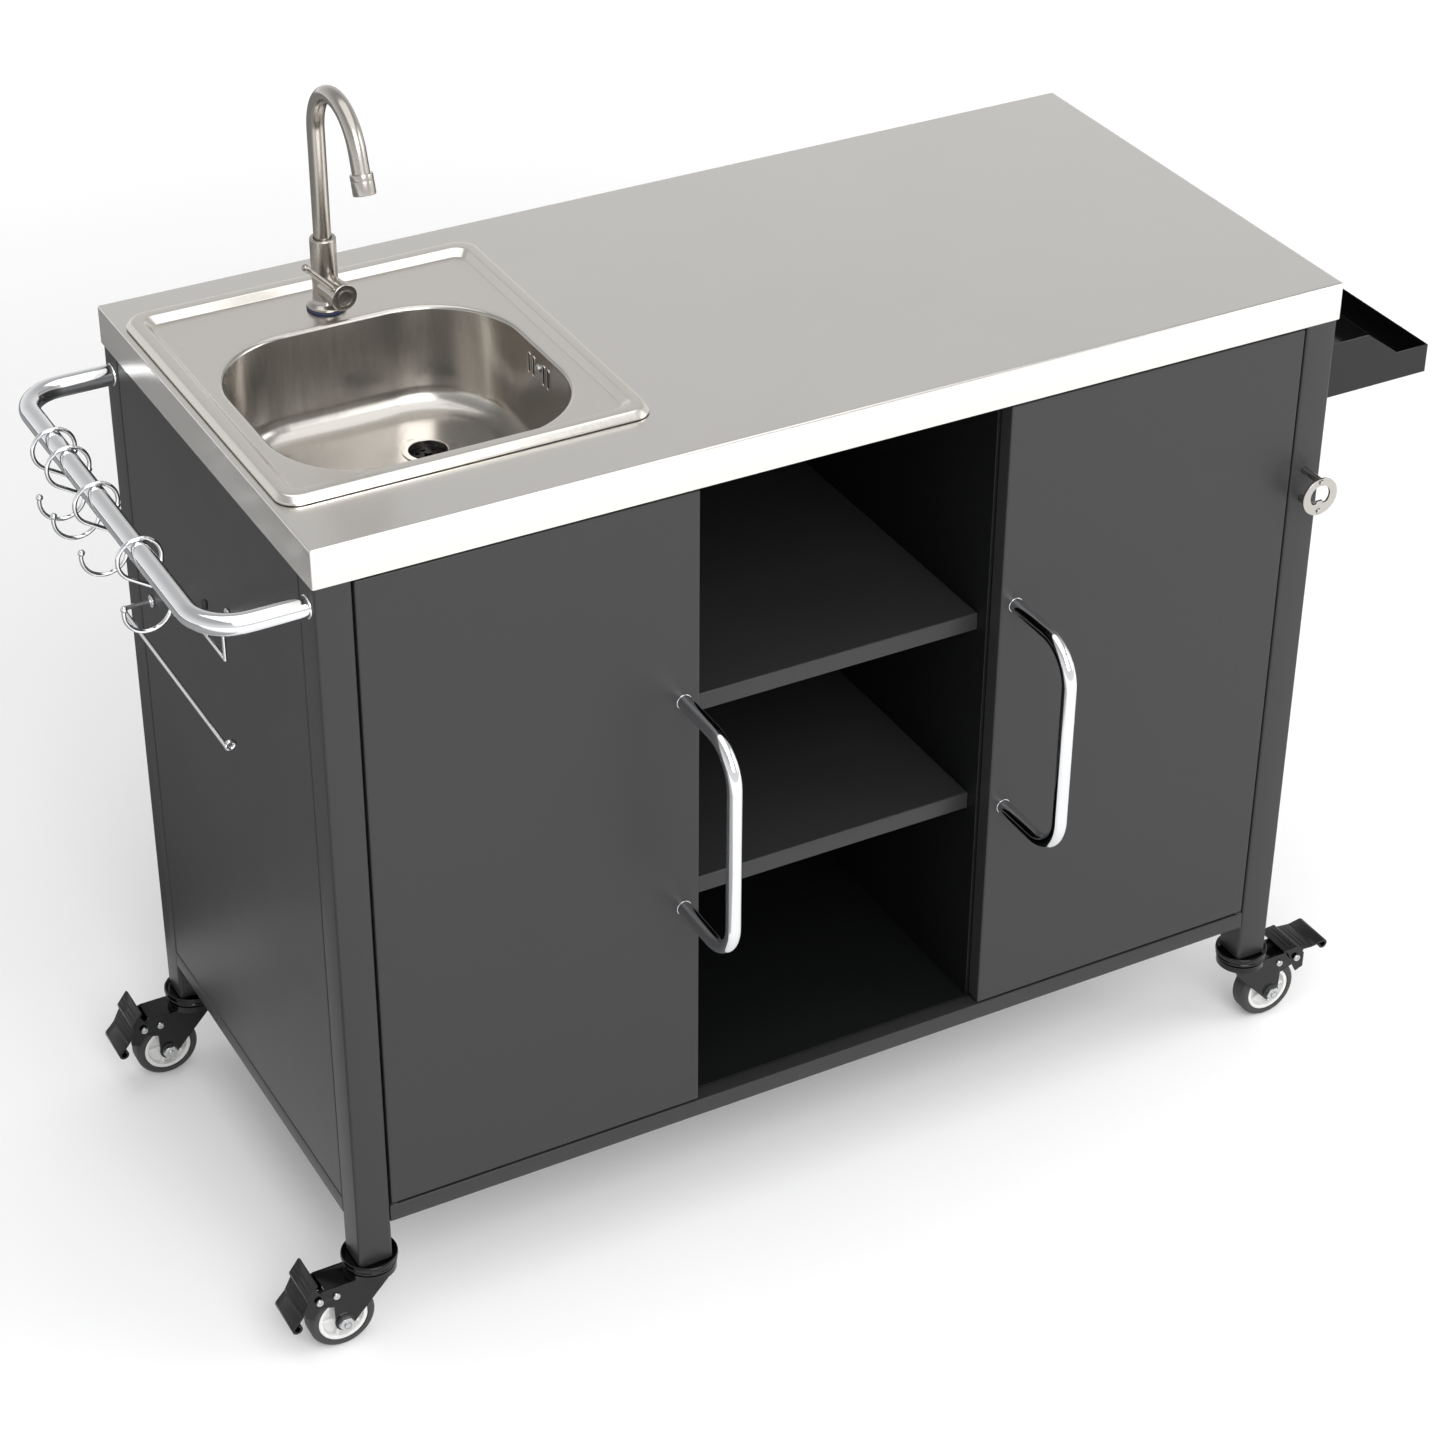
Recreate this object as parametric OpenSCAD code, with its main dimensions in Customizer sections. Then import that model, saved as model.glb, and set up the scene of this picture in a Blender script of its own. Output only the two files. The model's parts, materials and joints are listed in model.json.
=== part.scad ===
// Wheeled outdoor wash station: steel cabinet with a stainless top, drop-in sink and gooseneck tap.
// Own frame in millimetres: +Z up, the floor is z = 0, the origin is below the middle of the cabinet.
// The front with the two doors faces -Y, the tray is on +X and the towel rail on -X.

/* [Worktop] */
// Width of the stainless worktop along X
top_w = 1160; // [1000:10:1300]
// Depth of the worktop along Y
top_d = 554; // [500:2:620]
// Height of the worktop surface above the floor
top_z = 978; // [900:2:1020]
// Height of the folded edge of the worktop
apron_h = 42; // [30:1:60]
// Sheet thickness of the worktop
top_t = 1.5; // [1:0.1:2.5]

/* [Frame] */
// Side of the square leg tube
leg_s = 38; // [30:1:45]
// Wall of the leg tube
leg_wall = 1.8; // [1.2:0.1:3]
// Height of the lower end of the legs
leg_z = 106; // [100:1:120]
// Height of the lower rails
rail_z = 154; // [150:1:170]
// Tube height of the lower rails
rail_h = 21; // [18:1:30]
// Depth of the rail tubes
rail_d = 20; // [15:1:25]
// Sheet thickness of the panels
sheet = 1.2; // [0.8:0.1:2]
// Inner half width of the open bay in the middle
bay_x = 174; // [150:1:190]
// Height of the upper shelf
shelf_hi = 672; // [600:1:750]
// Height of the lower shelf
shelf_lo = 443; // [380:1:520]
// Height of the folded shelf edge
lip_h = 20; // [12:1:30]

/* [Doors] */
// Thickness of a door
door_t = 20; // [16:1:24]
// Radius of the hinge pins
pin_r = 2.5; // [2:0.1:3]
// Distance of the handle tube from the door face
grip_out = 106; // [60:1:120]
// Radius of the handle tube
grip_r = 8; // [6:0.5:10]
// Upper end of the handle
grip_hi = 696; // [650:1:720]
// Lower end of the handle
grip_lo = 441; // [420:1:500]
// Distance of the handle from the middle of the cabinet
grip_x = 195; // [190:1:220]

/* [Sink] */
// Middle of the sink along X
sink_x = -378; // [-400:1:-300]
// Middle of the sink along Y
sink_y = 15.5; // [-10:0.5:30]
// Width of the sink rim
sink_w = 390; // [350:1:450]
// Depth of the sink rim
sink_d = 427; // [380:1:480]
// Width of the bowl opening
bowl_w = 310; // [280:1:340]
// Depth of the bowl opening along Y
bowl_d = 293; // [260:1:310]
// Depth of the bowl floor below the worktop
bowl_h = 112; // [100:1:150]
// Corner radius of the bowl
bowl_r = 95; // [70:1:120]
// Radius between the walls and the floor of the bowl
bowl_f = 25; // [15:1:30]
// Middle of the drain along X
drain_x = -328; // [-400:1:-300]
// Middle of the drain along Y
drain_y = 28; // [-40:1:40]

/* [Tap] */
// Middle of the tap along X
tap_x = -376; // [-400:1:-360]
// Middle of the tap along Y
tap_y = 160; // [140:1:165]
// Radius of the spout tube
spout_r = 9; // [7:0.5:11]
// Radius of the bend of the spout
spout_bend = 54; // [40:1:70]
// Height at which the spout starts to bend
spout_z = 1176; // [1120:1:1220]
// Angle of the bend of the spout
spout_turn = 162; // [140:1:180]

/* [Rail, hooks, tray] */
// Height of the towel rail
bar_z = 908; // [880:1:920]
// Distance of the towel rail from the legs
bar_out = 101; // [70:1:120]
// Radius of the towel rail tube
bar_r = 11; // [8:0.5:13]
// Height of the tray floor
tray_z = 822; // [780:1:840]
// Width of the tray
tray_w = 154; // [120:1:180]

/* [Casters] */
// Radius of the wheels
wheel_r = 37; // [34:0.5:37.5]
// Distance of the axle from the swivel axis
trail = 38; // [34:1:42]

/* [Hidden] */
gap = 0.3;
fit = 0.05;
$fn = 64;
leg_x = top_w / 2 - 2 - leg_s / 2;
leg_y = top_d / 2 - 2 - leg_s / 2;
out_x = leg_x + leg_s / 2;
out_y = leg_y + leg_s / 2;
in_x = leg_x - leg_s / 2;
in_y = leg_y - leg_s / 2;
apron_z = top_z - apron_h;
rail_top = rail_z + rail_h;
upper_z = apron_z + 1;
upper_h = top_z - 8 - upper_z;
rim_z = top_z + 1;
deck_z = rim_z + 1.3;
rim_top = rim_z + 4.5;
bowl_x = -381;
bowl_y = -24.5;
floor_z = top_z - bowl_h;
hinge_x = in_x - 5.5;
hinge_y = out_y - 4;
door_out = in_x - 2.2;
door_in = bay_x + 3;
door_lo = rail_top + 3;
door_hi = apron_z - 3;
axle_z = wheel_r;
valve_z = top_z + 28;
valve_turn = 8;
wire_x = -out_x - 33;
hook_r = 2.2;
hook_up = 22;
hook_dn = 24;
hook_cy = bar_r + 0.1 + hook_r - hook_up;
hook_dy = -65.3;
hook_ys = [150, 108, 28, -90];
pedal_swing = 57;

// ---------- helpers ----------
module box(lo, hi) {
    translate(lo) cube(hi - lo);
}

module both_x() {
    children();
    mirror([1, 0, 0]) children();
}

module both_y() {
    children();
    mirror([0, 1, 0]) children();
}

module rod(from, to, r) {
    d = to - from;
    len = norm(d);
    translate(from)
        rotate([0, acos(d[2] / len), atan2(d[1], d[0])])
            cylinder(r = r, h = len);
}

module rounded(w, d, r) {
    union() {
        square([w - 2 * r, d], center = true);
        square([w, d - 2 * r], center = true);
        for (sx = [-1, 1])
            for (sy = [-1, 1])
                translate([sx * (w / 2 - r), sy * (d / 2 - r)]) circle(r);
    }
}

module plate(w, d, r, lo, hi) {
    translate([0, 0, lo]) linear_extrude(hi - lo) rounded(w, d, r);
}

// half of a U of tube: a leg along +X from the wall, a bend, then half the grip along -Y
module tube_u(out, half, bend, r) {
    both_y() union() {
        rod([0, half, 0], [out - bend, half, 0], r);
        translate([out - bend, half - bend, 0])
            rotate_extrude(angle = 90) translate([bend, 0]) circle(r);
        rod([out, half - bend, 0], [out, 0, 0], r);
    }
}

module hollow_u(out, half, bend, r, wall) {
    difference() {
        tube_u(out, half, bend, r);
        tube_u(out, half, bend, r - wall);
        for (s = [-1, 1]) translate([-1, s * half, 0]) rotate([0, 90, 0]) cylinder(r = r - wall, h = 2);
    }
}

// ---------- worktop, sink and drain ----------
module countertop() {
    color("silver")
    difference() {
        box([-top_w / 2, -top_d / 2, apron_z], [top_w / 2, top_d / 2, top_z]);
        box([-top_w / 2 + top_t, -top_d / 2 + top_t, apron_z - 1],
            [top_w / 2 - top_t, top_d / 2 - top_t, top_z - top_t]);
        translate([sink_x, sink_y, 0]) plate(sink_w - 24, sink_d - 24, 15, top_z - 5, top_z + 5);
    }
}

module top_battens() {
    h = 16;
    color("gray")
    for (x = [40, 330])
        difference() {
            box([x, -in_y, top_z - top_t - gap - h], [x + 50, in_y, top_z - top_t - gap]);
            box([x + 2, -in_y - 1, top_z - top_t - gap - h - 1], [x + 48, in_y + 1, top_z - top_t - gap - 2]);
        }
}

module sink_seal() {
    color("dimgray")
    translate([sink_x, sink_y, 0]) difference() {
        plate(sink_w - 4, sink_d - 4, 20, top_z + 0.05, rim_z - 0.05);
        plate(sink_w - 20, sink_d - 20, 14, top_z - 1, rim_z + 1);
    }
}

// block with vertical corners of radius r whose lower edge is rounded by f
module bowl_block(w, d, r, f, lo, hi) {
    plate(w, d, r, lo + f, hi);
    for (sx = [-1, 1])
        for (sy = [-1, 1])
            translate([sx * (w / 2 - r), sy * (d / 2 - r), lo])
                rotate_extrude() union() {
                    square([r - f, f]);
                    intersection() {
                        translate([r - f, f]) circle(f);
                        translate([r - f, 0]) square(f);
                    }
                }
    for (s = [-1, 1]) {
        translate([-w / 2 + r, s * (d / 2 - f), lo + f]) rotate([0, 90, 0]) cylinder(r = f, h = w - 2 * r);
        translate([s * (w / 2 - f), -d / 2 + r, lo + f]) rotate([-90, 0, 0]) cylinder(r = f, h = d - 2 * r);
    }
    box([-w / 2 + r, -d / 2 + f, lo], [w / 2 - r, d / 2 - f, lo + f]);
    box([-w / 2 + f, -d / 2 + r, lo], [w / 2 - f, d / 2 - r, lo + f]);
}

module sink_basin() {
    wall = 1.3;
    color("silver")
    difference() {
        union() {
            translate([sink_x, sink_y, 0]) difference() {
                plate(sink_w, sink_d, 22, rim_z, rim_top);
                plate(sink_w - 44, sink_d - 49, 12, deck_z, rim_top + 1);
            }
            translate([bowl_x, bowl_y, 0])
                bowl_block(bowl_w + 2 * wall, bowl_d + 2 * wall, bowl_r + wall, bowl_f + wall, floor_z - wall, rim_z + 0.5);
        }
        translate([bowl_x, bowl_y, 0]) bowl_block(bowl_w, bowl_d, bowl_r, bowl_f, floor_z, rim_top + 1);
        translate([drain_x, drain_y, floor_z - 3]) cylinder(r = 22, h = 6);
        translate([tap_x, tap_y, rim_z - 2]) cylinder(r = 11.5, h = 6);
        for (y = [-21.5, -11.5, 11.5, 21.5])
            box([bowl_x + bowl_w / 2 - 4, bowl_y + y - 1.6, top_z - 33],
                [bowl_x + bowl_w / 2 + 4, bowl_y + y + 1.6, top_z - 11]);
        translate([bowl_x + bowl_w / 2 - 4, bowl_y, top_z - 19]) rotate([0, 90, 0]) cylinder(r = 3, h = 8);
    }
}

module sink_clips() {
    color("gray")
    translate([sink_x, sink_y, 0]) {
        for (x = [-95, 95])
            both_y() union() {
                box([x - 9, sink_d / 2 - 16, top_z - 26], [x + 9, sink_d / 2 - 14, top_z - 1]);
                box([x - 9, sink_d / 2 - 16, top_z - 4.2], [x + 9, sink_d / 2 - 2, top_z - 2]);
            }
        for (y = [-115, 115])
            both_x() union() {
                box([sink_w / 2 - 20, y - 9, top_z - 26], [sink_w / 2 - 18, y + 9, top_z - 1]);
                box([sink_w / 2 - 20, y - 9, top_z - 4.2], [sink_w / 2 - 2, y + 9, top_z - 2]);
            }
    }
}

module drain_flange() {
    color("silver")
    translate([drain_x, drain_y, floor_z])
        difference() {
            union() {
                translate([0, 0, 0.1]) cylinder(r = 27, h = 1);
                translate([0, 0, -34]) cylinder(r = 21.5, h = 34.5);
            }
            translate([0, 0, -8]) cylinder(r = 19.5, h = 12);
            translate([0, 0, -36]) cylinder(r = 15, h = 40);
        }
}

module strainer_basket() {
    color("silver")
    translate([drain_x, drain_y, floor_z - 7.8]) {
        difference() {
            cylinder(r = 19.2, h = 1.6);
            for (k = [0:7])
                rotate([0, 0, k * 45]) translate([12, 0, -1]) cylinder(r = 2.4, h = 4);
        }
        translate([0, 0, 1.5]) cylinder(r = 4, h = 5);
    }
}

module drain_nut() {
    color("white")
    translate([drain_x, drain_y, floor_z - 14])
        difference() {
            cylinder(r = 34, h = 11, $fn = 8);
            translate([0, 0, -1]) cylinder(r = 21.8, h = 14);
        }
}

module bottle_trap() {
    h = floor_z - 35;
    color("white")
    difference() {
        union() {
            translate([drain_x, drain_y, h - 120]) cylinder(r = 16, h = 119);
            translate([drain_x, drain_y, h - 26]) cylinder(r = 25, h = 25);
            translate([drain_x, drain_y, h - 200]) cylinder(r = 32, h = 100);
            translate([drain_x, drain_y, h - 208]) cylinder(r = 35, h = 22);
            translate([drain_x, drain_y, h - 130]) rotate([-90, 0, 0]) cylinder(r = 16, h = out_y - drain_y - 8);
            translate([drain_x, drain_y + 45, h - 130]) rotate([-90, 0, 0]) cylinder(r = 22, h = 20);
        }
        translate([drain_x, drain_y, h - 196]) cylinder(r = 29, h = 92);
        translate([drain_x, drain_y, h - 150]) cylinder(r = 13.5, h = 160);
        translate([drain_x, drain_y + 20, h - 130]) rotate([-90, 0, 0]) cylinder(r = 13.5, h = out_y);
    }
}

module overflow_housing() {
    x = bowl_x + bowl_w / 2 + 1.6;
    color("white") {
        difference() {
            box([x, bowl_y - 32, top_z - 44], [x + 16, bowl_y + 32, top_z - 4]);
            box([x - 1, bowl_y - 29, top_z - 41], [x + 13, bowl_y + 29, top_z - 7]);
            translate([x + 8, bowl_y, top_z - 46]) cylinder(r = 5, h = 10);
        }
        translate([x + 12.5, bowl_y, top_z - 19]) rotate([0, -90, 0]) cylinder(r = 2.6, h = 15.5);
        translate([x - 2.9, bowl_y, top_z - 19]) rotate([0, -90, 0]) cylinder(r = 4.4, h = 1.6);
    }
}

// ---------- tap ----------
module faucet_gasket() {
    color("midnightblue")
    translate([tap_x, tap_y, deck_z + 0.05]) difference() {
        cylinder(r = 20.6, h = 2.6);
        translate([0, 0, -1]) cylinder(r = 10.6, h = 5);
    }
}

module faucet_body() {
    base = deck_z + 2.8;
    color("silver")
    translate([tap_x, tap_y, 0])
        difference() {
            union() {
                translate([0, 0, base]) cylinder(r = 19.8, h = 2.5);
                translate([0, 0, base + 2.5]) cylinder(r1 = 19.8, r2 = 15, h = 3, $fn = 64);
                translate([0, 0, base]) cylinder(r = 13.5, h = top_z + 81 - base);
                translate([0, 0, top_z - 53]) cylinder(r = 10.3, h = base - top_z + 54);
                translate([0, 0, valve_z]) rotate([90, 0, valve_turn]) cylinder(r = 13.2, h = 26);
            }
            translate([0, 0, top_z + 62]) cylinder(r = spout_r + fit, h = 30);
            translate([0, 0, top_z - 60]) cylinder(r = 6, h = 130);
            translate([0, 0, valve_z]) rotate([90, 0, valve_turn]) cylinder(r = 5 + fit, h = 30);
        }
}

module faucet_nut() {
    color("goldenrod")
    translate([tap_x, tap_y, rim_z - 14]) difference() {
        cylinder(r = 18, h = 12, $fn = 6);
        translate([0, 0, -1]) cylinder(r = 10.6, h = 16);
    }
}

module spout_path(r, step) {
    translate([0, 0, top_z + 62.2]) cylinder(r = r, h = spout_z - top_z - 62.2);
    translate([0, -spout_bend, spout_z]) rotate([90, 0, 90])
        rotate_extrude(angle = spout_turn) translate([spout_bend, 0]) circle(r);
    translate([0, -spout_bend, spout_z]) rotate([spout_turn, 0, 0])
        translate([0, spout_bend, -0.5]) cylinder(r = r + step, h = 28.5);
}

module spout() {
    color("silver")
    translate([tap_x, tap_y, 0]) difference() {
        spout_path(spout_r, 0.05);
        spout_path(spout_r - 1.2, -0.05);
        translate([0, 0, top_z + 61]) cylinder(r = spout_r - 1.2, h = 3);
        translate([0, -spout_bend, spout_z]) rotate([spout_turn, 0, 0])
            translate([0, spout_bend, 27]) cylinder(r = spout_r - 1.2, h = 3);
    }
}

module aerator() {
    color("silver")
    translate([tap_x, tap_y - spout_bend, spout_z]) rotate([spout_turn, 0, 0])
        translate([0, spout_bend, 20]) difference() {
            cylinder(r = 11.5, h = 21);
            translate([0, 0, -1]) cylinder(r = spout_r + 0.1, h = 9.2);
            translate([0, 0, 12]) cylinder(r = 9.5, h = 10);
            for (k = [0:5])
                rotate([0, 0, k * 60]) translate([5, 0, 5]) cylinder(r = 1.5, h = 10);
        }
}

module valve_handle() {
    color("silver")
    translate([tap_x, tap_y, valve_z]) rotate([90, 0, valve_turn]) union() {
        translate([0, 0, 18]) cylinder(r = 5, h = 10);
        difference() {
            translate([0, 0, 26.3]) cylinder(r = 14.6, h = 12);
            translate([0, 0, 37.5]) difference() {
                cylinder(r = 8.8, h = 2);
                translate([0, 0, -1]) cylinder(r = 8, h = 4);
            }
        }
        rotate([0, 0, 133]) translate([10, 0, 32]) rotate([0, 90, 0]) cylinder(r = 3.2, h = 48);
        rotate([0, 0, 133]) translate([58, 0, 32]) sphere(r = 3.9);
    }
}

// ---------- frame and panels ----------
module tube_box(lo, hi, t, axis) {
    a = [axis == 0 ? 1 : -t, axis == 1 ? 1 : -t, axis == 2 ? 1 : -t];
    difference() {
        box(lo, hi);
        box(lo - a, hi + a);
    }
}

module side_frame() {
    ix = out_x - rail_d;
    color("dimgray")
    union() {
        both_y() tube_box([in_x, in_y, leg_z], [out_x, out_y, top_z - top_t - gap], leg_wall, 2);
        tube_box([ix, -in_y, rail_z], [out_x, in_y, rail_top], 1.5, 1);
        tube_box([ix, -in_y, upper_z], [out_x, in_y, upper_z + upper_h], 1.5, 1);
    }
}

module side_frame_left() {
    mirror([1, 0, 0]) side_frame();
}

module side_frame_right() {
    side_frame();
}

module cross_rails() {
    color("dimgray")
    both_y() {
        tube_box([-in_x + gap, out_y - rail_d, rail_z], [in_x - gap, out_y, rail_top], 1.5, 0);
        tube_box([-in_x + gap, out_y - rail_d, upper_z], [in_x - gap, out_y, upper_z + upper_h], 1.5, 0);
    }
}

// sheet panel in the XZ plane with its face at y = 0 and its edges folded back along +Y
module pan(w, h, fold) {
    difference() {
        box([-w / 2, 0, 0], [w / 2, fold, h]);
        box([-w / 2 + sheet, sheet, sheet], [w / 2 - sheet, fold + 1, h - sheet]);
    }
}

module side_panel() {
    color("dimgray")
    translate([out_x - 0.4, 0, rail_top + gap]) rotate([0, 0, 90])
        pan(2 * (in_y - gap), upper_z - rail_top - 2 * gap, 15);
}

module side_panel_left() {
    mirror([1, 0, 0]) side_panel();
}

module side_panel_right() {
    side_panel();
}

module back_panel() {
    color("dimgray")
    difference() {
        translate([0, out_y - 0.4, rail_top + gap]) rotate([0, 0, 180])
            pan(2 * (in_x - gap), upper_z - rail_top - 2 * gap, 15);
        translate([drain_x, out_y + 5, floor_z - 165]) rotate([90, 0, 0]) cylinder(r = 20, h = 30);
        translate([tap_x, out_y + 5, floor_z - 165]) rotate([90, 0, 0]) cylinder(r = 14, h = 10);
    }
}

module floor_panel() {
    color("dimgray")
    difference() {
        union() {
            box([-in_x + gap, -out_y + rail_d + gap, rail_top - 15], [in_x - gap, out_y - rail_d - gap, rail_top]);
            box([-out_x + rail_d + gap, -in_y + gap, rail_top - 15], [out_x - rail_d - gap, in_y - gap, rail_top]);
        }
        box([-in_x + gap + sheet, -out_y + rail_d + gap + sheet, rail_top - 16],
            [in_x - gap - sheet, out_y - rail_d - gap - sheet, rail_top - sheet]);
        box([-out_x + rail_d + gap + sheet, -in_y + gap + sheet, rail_top - 16],
            [out_x - rail_d - gap - sheet, in_y - gap - sheet, rail_top - sheet]);
    }
}

module divider() {
    t = 1.5;
    front = -out_y + rail_d + 1;
    back = out_y - 16;
    color("dimgray")
    union() {
        box([bay_x, front, rail_top + gap], [bay_x + t, back, upper_z - gap]);
        box([bay_x, front, rail_top + gap], [bay_x + 18, front + t, upper_z - gap]);
        box([bay_x, back - t, rail_top + gap], [bay_x + 18, back, upper_z - gap]);
        box([bay_x, front, rail_top + gap], [bay_x + 18, back, rail_top + gap + t]);
    }
}

module divider_left() {
    mirror([1, 0, 0]) divider();
}

module divider_right() {
    divider();
}

module shelf(z) {
    front = -out_y + rail_d + 17;
    back = out_y - 17;
    color("dimgray")
    difference() {
        box([-bay_x + gap, front, z - lip_h], [bay_x - gap, back, z]);
        box([-bay_x + gap + sheet, front + sheet, z - lip_h - 1],
            [bay_x - gap - sheet, back - sheet, z - sheet]);
    }
}

module shelf_upper() {
    shelf(shelf_hi);
}

module shelf_lower() {
    shelf(shelf_lo);
}

// ---------- doors ----------
module hinge_pins() {
    color("silver")
    both_x() {
        translate([hinge_x, -hinge_y, rail_top + 0.1]) cylinder(r = pin_r, h = 15);
        translate([hinge_x, -hinge_y, rail_top + 0.1]) cylinder(r = 4.2, h = 2.4);
        translate([hinge_x, -hinge_y, upper_z - 15.1]) cylinder(r = pin_r, h = 15);
        translate([hinge_x, -hinge_y, upper_z - 2.5]) cylinder(r = 4.2, h = 2.4);
    }
}

module door_magnets() {
    color("black")
    both_x()
        box([bay_x + 24, -out_y + rail_d + 0.6, upper_z - 24], [bay_x + 64, -out_y + rail_d + 12, upper_z + 20]);
}

module door() {
    w = door_out - door_in;
    h = door_hi - door_lo;
    color("dimgray")
    difference() {
        union() {
            translate([(door_out + door_in) / 2, -out_y, door_lo]) difference() {
                box([-w / 2, 0, 0], [w / 2, door_t - 1, h]);
                box([-w / 2 + sheet, sheet, sheet], [w / 2 - sheet, door_t - 1 - sheet, h - sheet]);
                box([-w / 2 + 16, 5, 16], [w / 2 - 16, door_t + 1, h - 16]);
            }
            for (z = [door_lo, door_hi - 18])
                box([door_out - 14, -out_y, z], [door_out, -out_y + 12, z + 18]);
        }
        translate([hinge_x, -hinge_y, door_lo - 1]) cylinder(r = pin_r + fit, h = 16);
        translate([hinge_x, -hinge_y, door_hi - 15]) cylinder(r = pin_r + fit, h = 16);
        for (z = [grip_lo, grip_hi])
            translate([grip_x, -out_y - 1, z]) rotate([-90, 0, 0]) cylinder(r = 3, h = 4);
    }
}

module door_left() {
    mirror([1, 0, 0]) door();
}

module door_right() {
    door();
}

module handle() {
    mid = (grip_hi + grip_lo) / 2;
    half = (grip_hi - grip_lo) / 2;
    color("lightgray")
    union() {
        translate([grip_x, -out_y - 0.2, mid]) rotate([90, 0, 0]) rotate([0, -90, 0])
            hollow_u(grip_out, half, 45, grip_r, 1.3);
        for (z = [grip_lo, grip_hi])
            translate([grip_x, -out_y + 4, z]) rotate([90, 0, 0]) union() {
                cylinder(r = 2.7, h = 12);
                cylinder(r = 5.5, h = 2.5);
                translate([0, 0, 4.4]) cylinder(r = grip_r - 0.6, h = 5);
            }
    }
}

module handle_left() {
    mirror([1, 0, 0]) handle();
}

module handle_right() {
    handle();
}

// ---------- left side: rail, hooks, wire holders ----------
module towel_bar() {
    color("lightgray")
    translate([-out_x - 0.2, 0, bar_z]) rotate([0, 0, 180]) union() {
        hollow_u(bar_out, leg_y, 45, bar_r, 1.5);
        both_y() translate([0, leg_y, 0]) rotate([0, 90, 0]) difference() {
            cylinder(r = 15, h = 2.5);
            translate([0, 0, -1]) cylinder(r = bar_r - 1, h = 5);
        }
    }
}

// S of wire in the XZ plane about a rail on the Y axis, open to +X above and to -X below
module s_hook(y) {
    cl = [3, hook_dy];
    d = cl - [0, hook_cy];
    base = atan2(d[1], d[0]);
    turn = acos((hook_up + hook_dn) / norm(d));
    up_end = base - turn + 360;
    dn_start = base - turn + 180;
    p = [hook_up * cos(up_end), hook_cy + hook_up * sin(up_end)];
    q = [cl[0] + hook_dn * cos(dn_start), cl[1] + hook_dn * sin(dn_start)];
    u = 0.4 * [q[0] - p[0], q[1] - p[1], 0] / norm(q - p);
    tip = [hook_up * cos(-20), hook_cy + hook_up * sin(-20)];
    ball = [cl[0] + hook_dn * cos(165), cl[1] + hook_dn * sin(165)];
    color("lightgray")
    translate([-out_x - 0.2 - bar_out, y, bar_z]) rotate([90, 0, 0]) union() {
        translate([0, hook_cy, 0]) rotate([0, 0, -20])
            rotate_extrude(angle = up_end + 20) translate([hook_up, 0]) circle(hook_r, $fn = 24);
        rod([p[0], p[1], 0] - u, [q[0], q[1], 0] + u, hook_r + 0.06, $fn = 24);
        translate([cl[0], cl[1], 0]) rotate([0, 0, 165])
            rotate_extrude(angle = dn_start + 195) translate([hook_dn, 0]) circle(hook_r, $fn = 24);
        translate([tip[0], tip[1], 0]) sphere(3.4, $fn = 32);
        translate([ball[0], ball[1], 0]) sphere(3.6, $fn = 32);
    }
}

module s_hook_1() {
    s_hook(hook_ys[0]);
}

module s_hook_2() {
    s_hook(hook_ys[1]);
}

module s_hook_3() {
    s_hook(hook_ys[2]);
}

module s_hook_4() {
    s_hook(hook_ys[3]);
}

module paper_rod() {
    z = 666;
    r = 2.5;
    back = 198;
    front = -93;
    color("lightgray")
    union() {
        rod([-out_x + 0.3, back, z], [wire_x, back, z], r);
        translate([wire_x, back, z]) sphere(r);
        rod([wire_x, back, z], [wire_x, front, z], r);
        translate([wire_x + 6, front, z]) rotate([90, 0, 0])
            rotate_extrude() translate([6, 0]) circle(r);
        translate([-out_x - 0.2, back, z]) rotate([0, -90, 0]) cylinder(r = 7, h = 2);
    }
}

module prong_hook() {
    z = 779;
    r = 2.2;
    color("lightgray")
    union() {
        rod([-out_x + 0.3, -38, z], [wire_x, -38, z], r);
        translate([wire_x, -38, z]) sphere(r);
        rod([wire_x, -38, z], [wire_x, -113, z], r);
        translate([wire_x, -113, z]) sphere(r);
        for (y = [-113, -66]) {
            rod([wire_x, y, z], [wire_x, y, z + 34], r - 0.2);
            translate([wire_x, y, z + 32]) cylinder(r = 3.2, h = 10);
        }
        translate([-out_x - 0.2, -38, z]) rotate([0, -90, 0]) cylinder(r = 7, h = 2);
    }
}

// ---------- right side: tray and opener ----------
module side_tray() {
    x0 = out_x + 0.3;
    x1 = x0 + tray_w;
    y1 = 245;
    t = 1.5;
    color("black")
    union() {
        box([x0, -y1, tray_z], [x1, y1, tray_z + t]);
        box([x1 - t, -y1, tray_z], [x1, y1, tray_z + 33]);
        box([x0, -y1, tray_z], [x0 + t, y1, tray_z + 64]);
        both_y() translate([0, y1, 0]) rotate([90, 0, 0]) linear_extrude(t)
            polygon([[x0, tray_z], [x1, tray_z], [x1, tray_z + 33], [x1 - 42, tray_z + 33],
                     [x1 - 84, tray_z + 64], [x0, tray_z + 64]]);
    }
}

module bottle_opener() {
    x = 557;
    z = 743;
    y0 = -out_y - 28;
    color("silver") {
        translate([x, y0, z]) rotate([90, 0, 0]) difference() {
            cylinder(r = 22, h = 3);
            difference() {
                translate([0, 1, -1]) cylinder(r = 12.5, h = 5);
                box([-14, -20, -2], [14, -8, 6]);
                box([-4, -9, -2], [4, -5, 6]);
            }
        }
        for (s = [-17.5, 17.5])
            translate([x, 0, z + s]) rotate([90, 0, 0]) {
                translate([0, 0, out_y + 0.2]) cylinder(r = 4, h = 27.6);
                translate([0, 0, out_y + 31.2]) cylinder(r = 3.2, h = 1.8);
            }
    }
}

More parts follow.
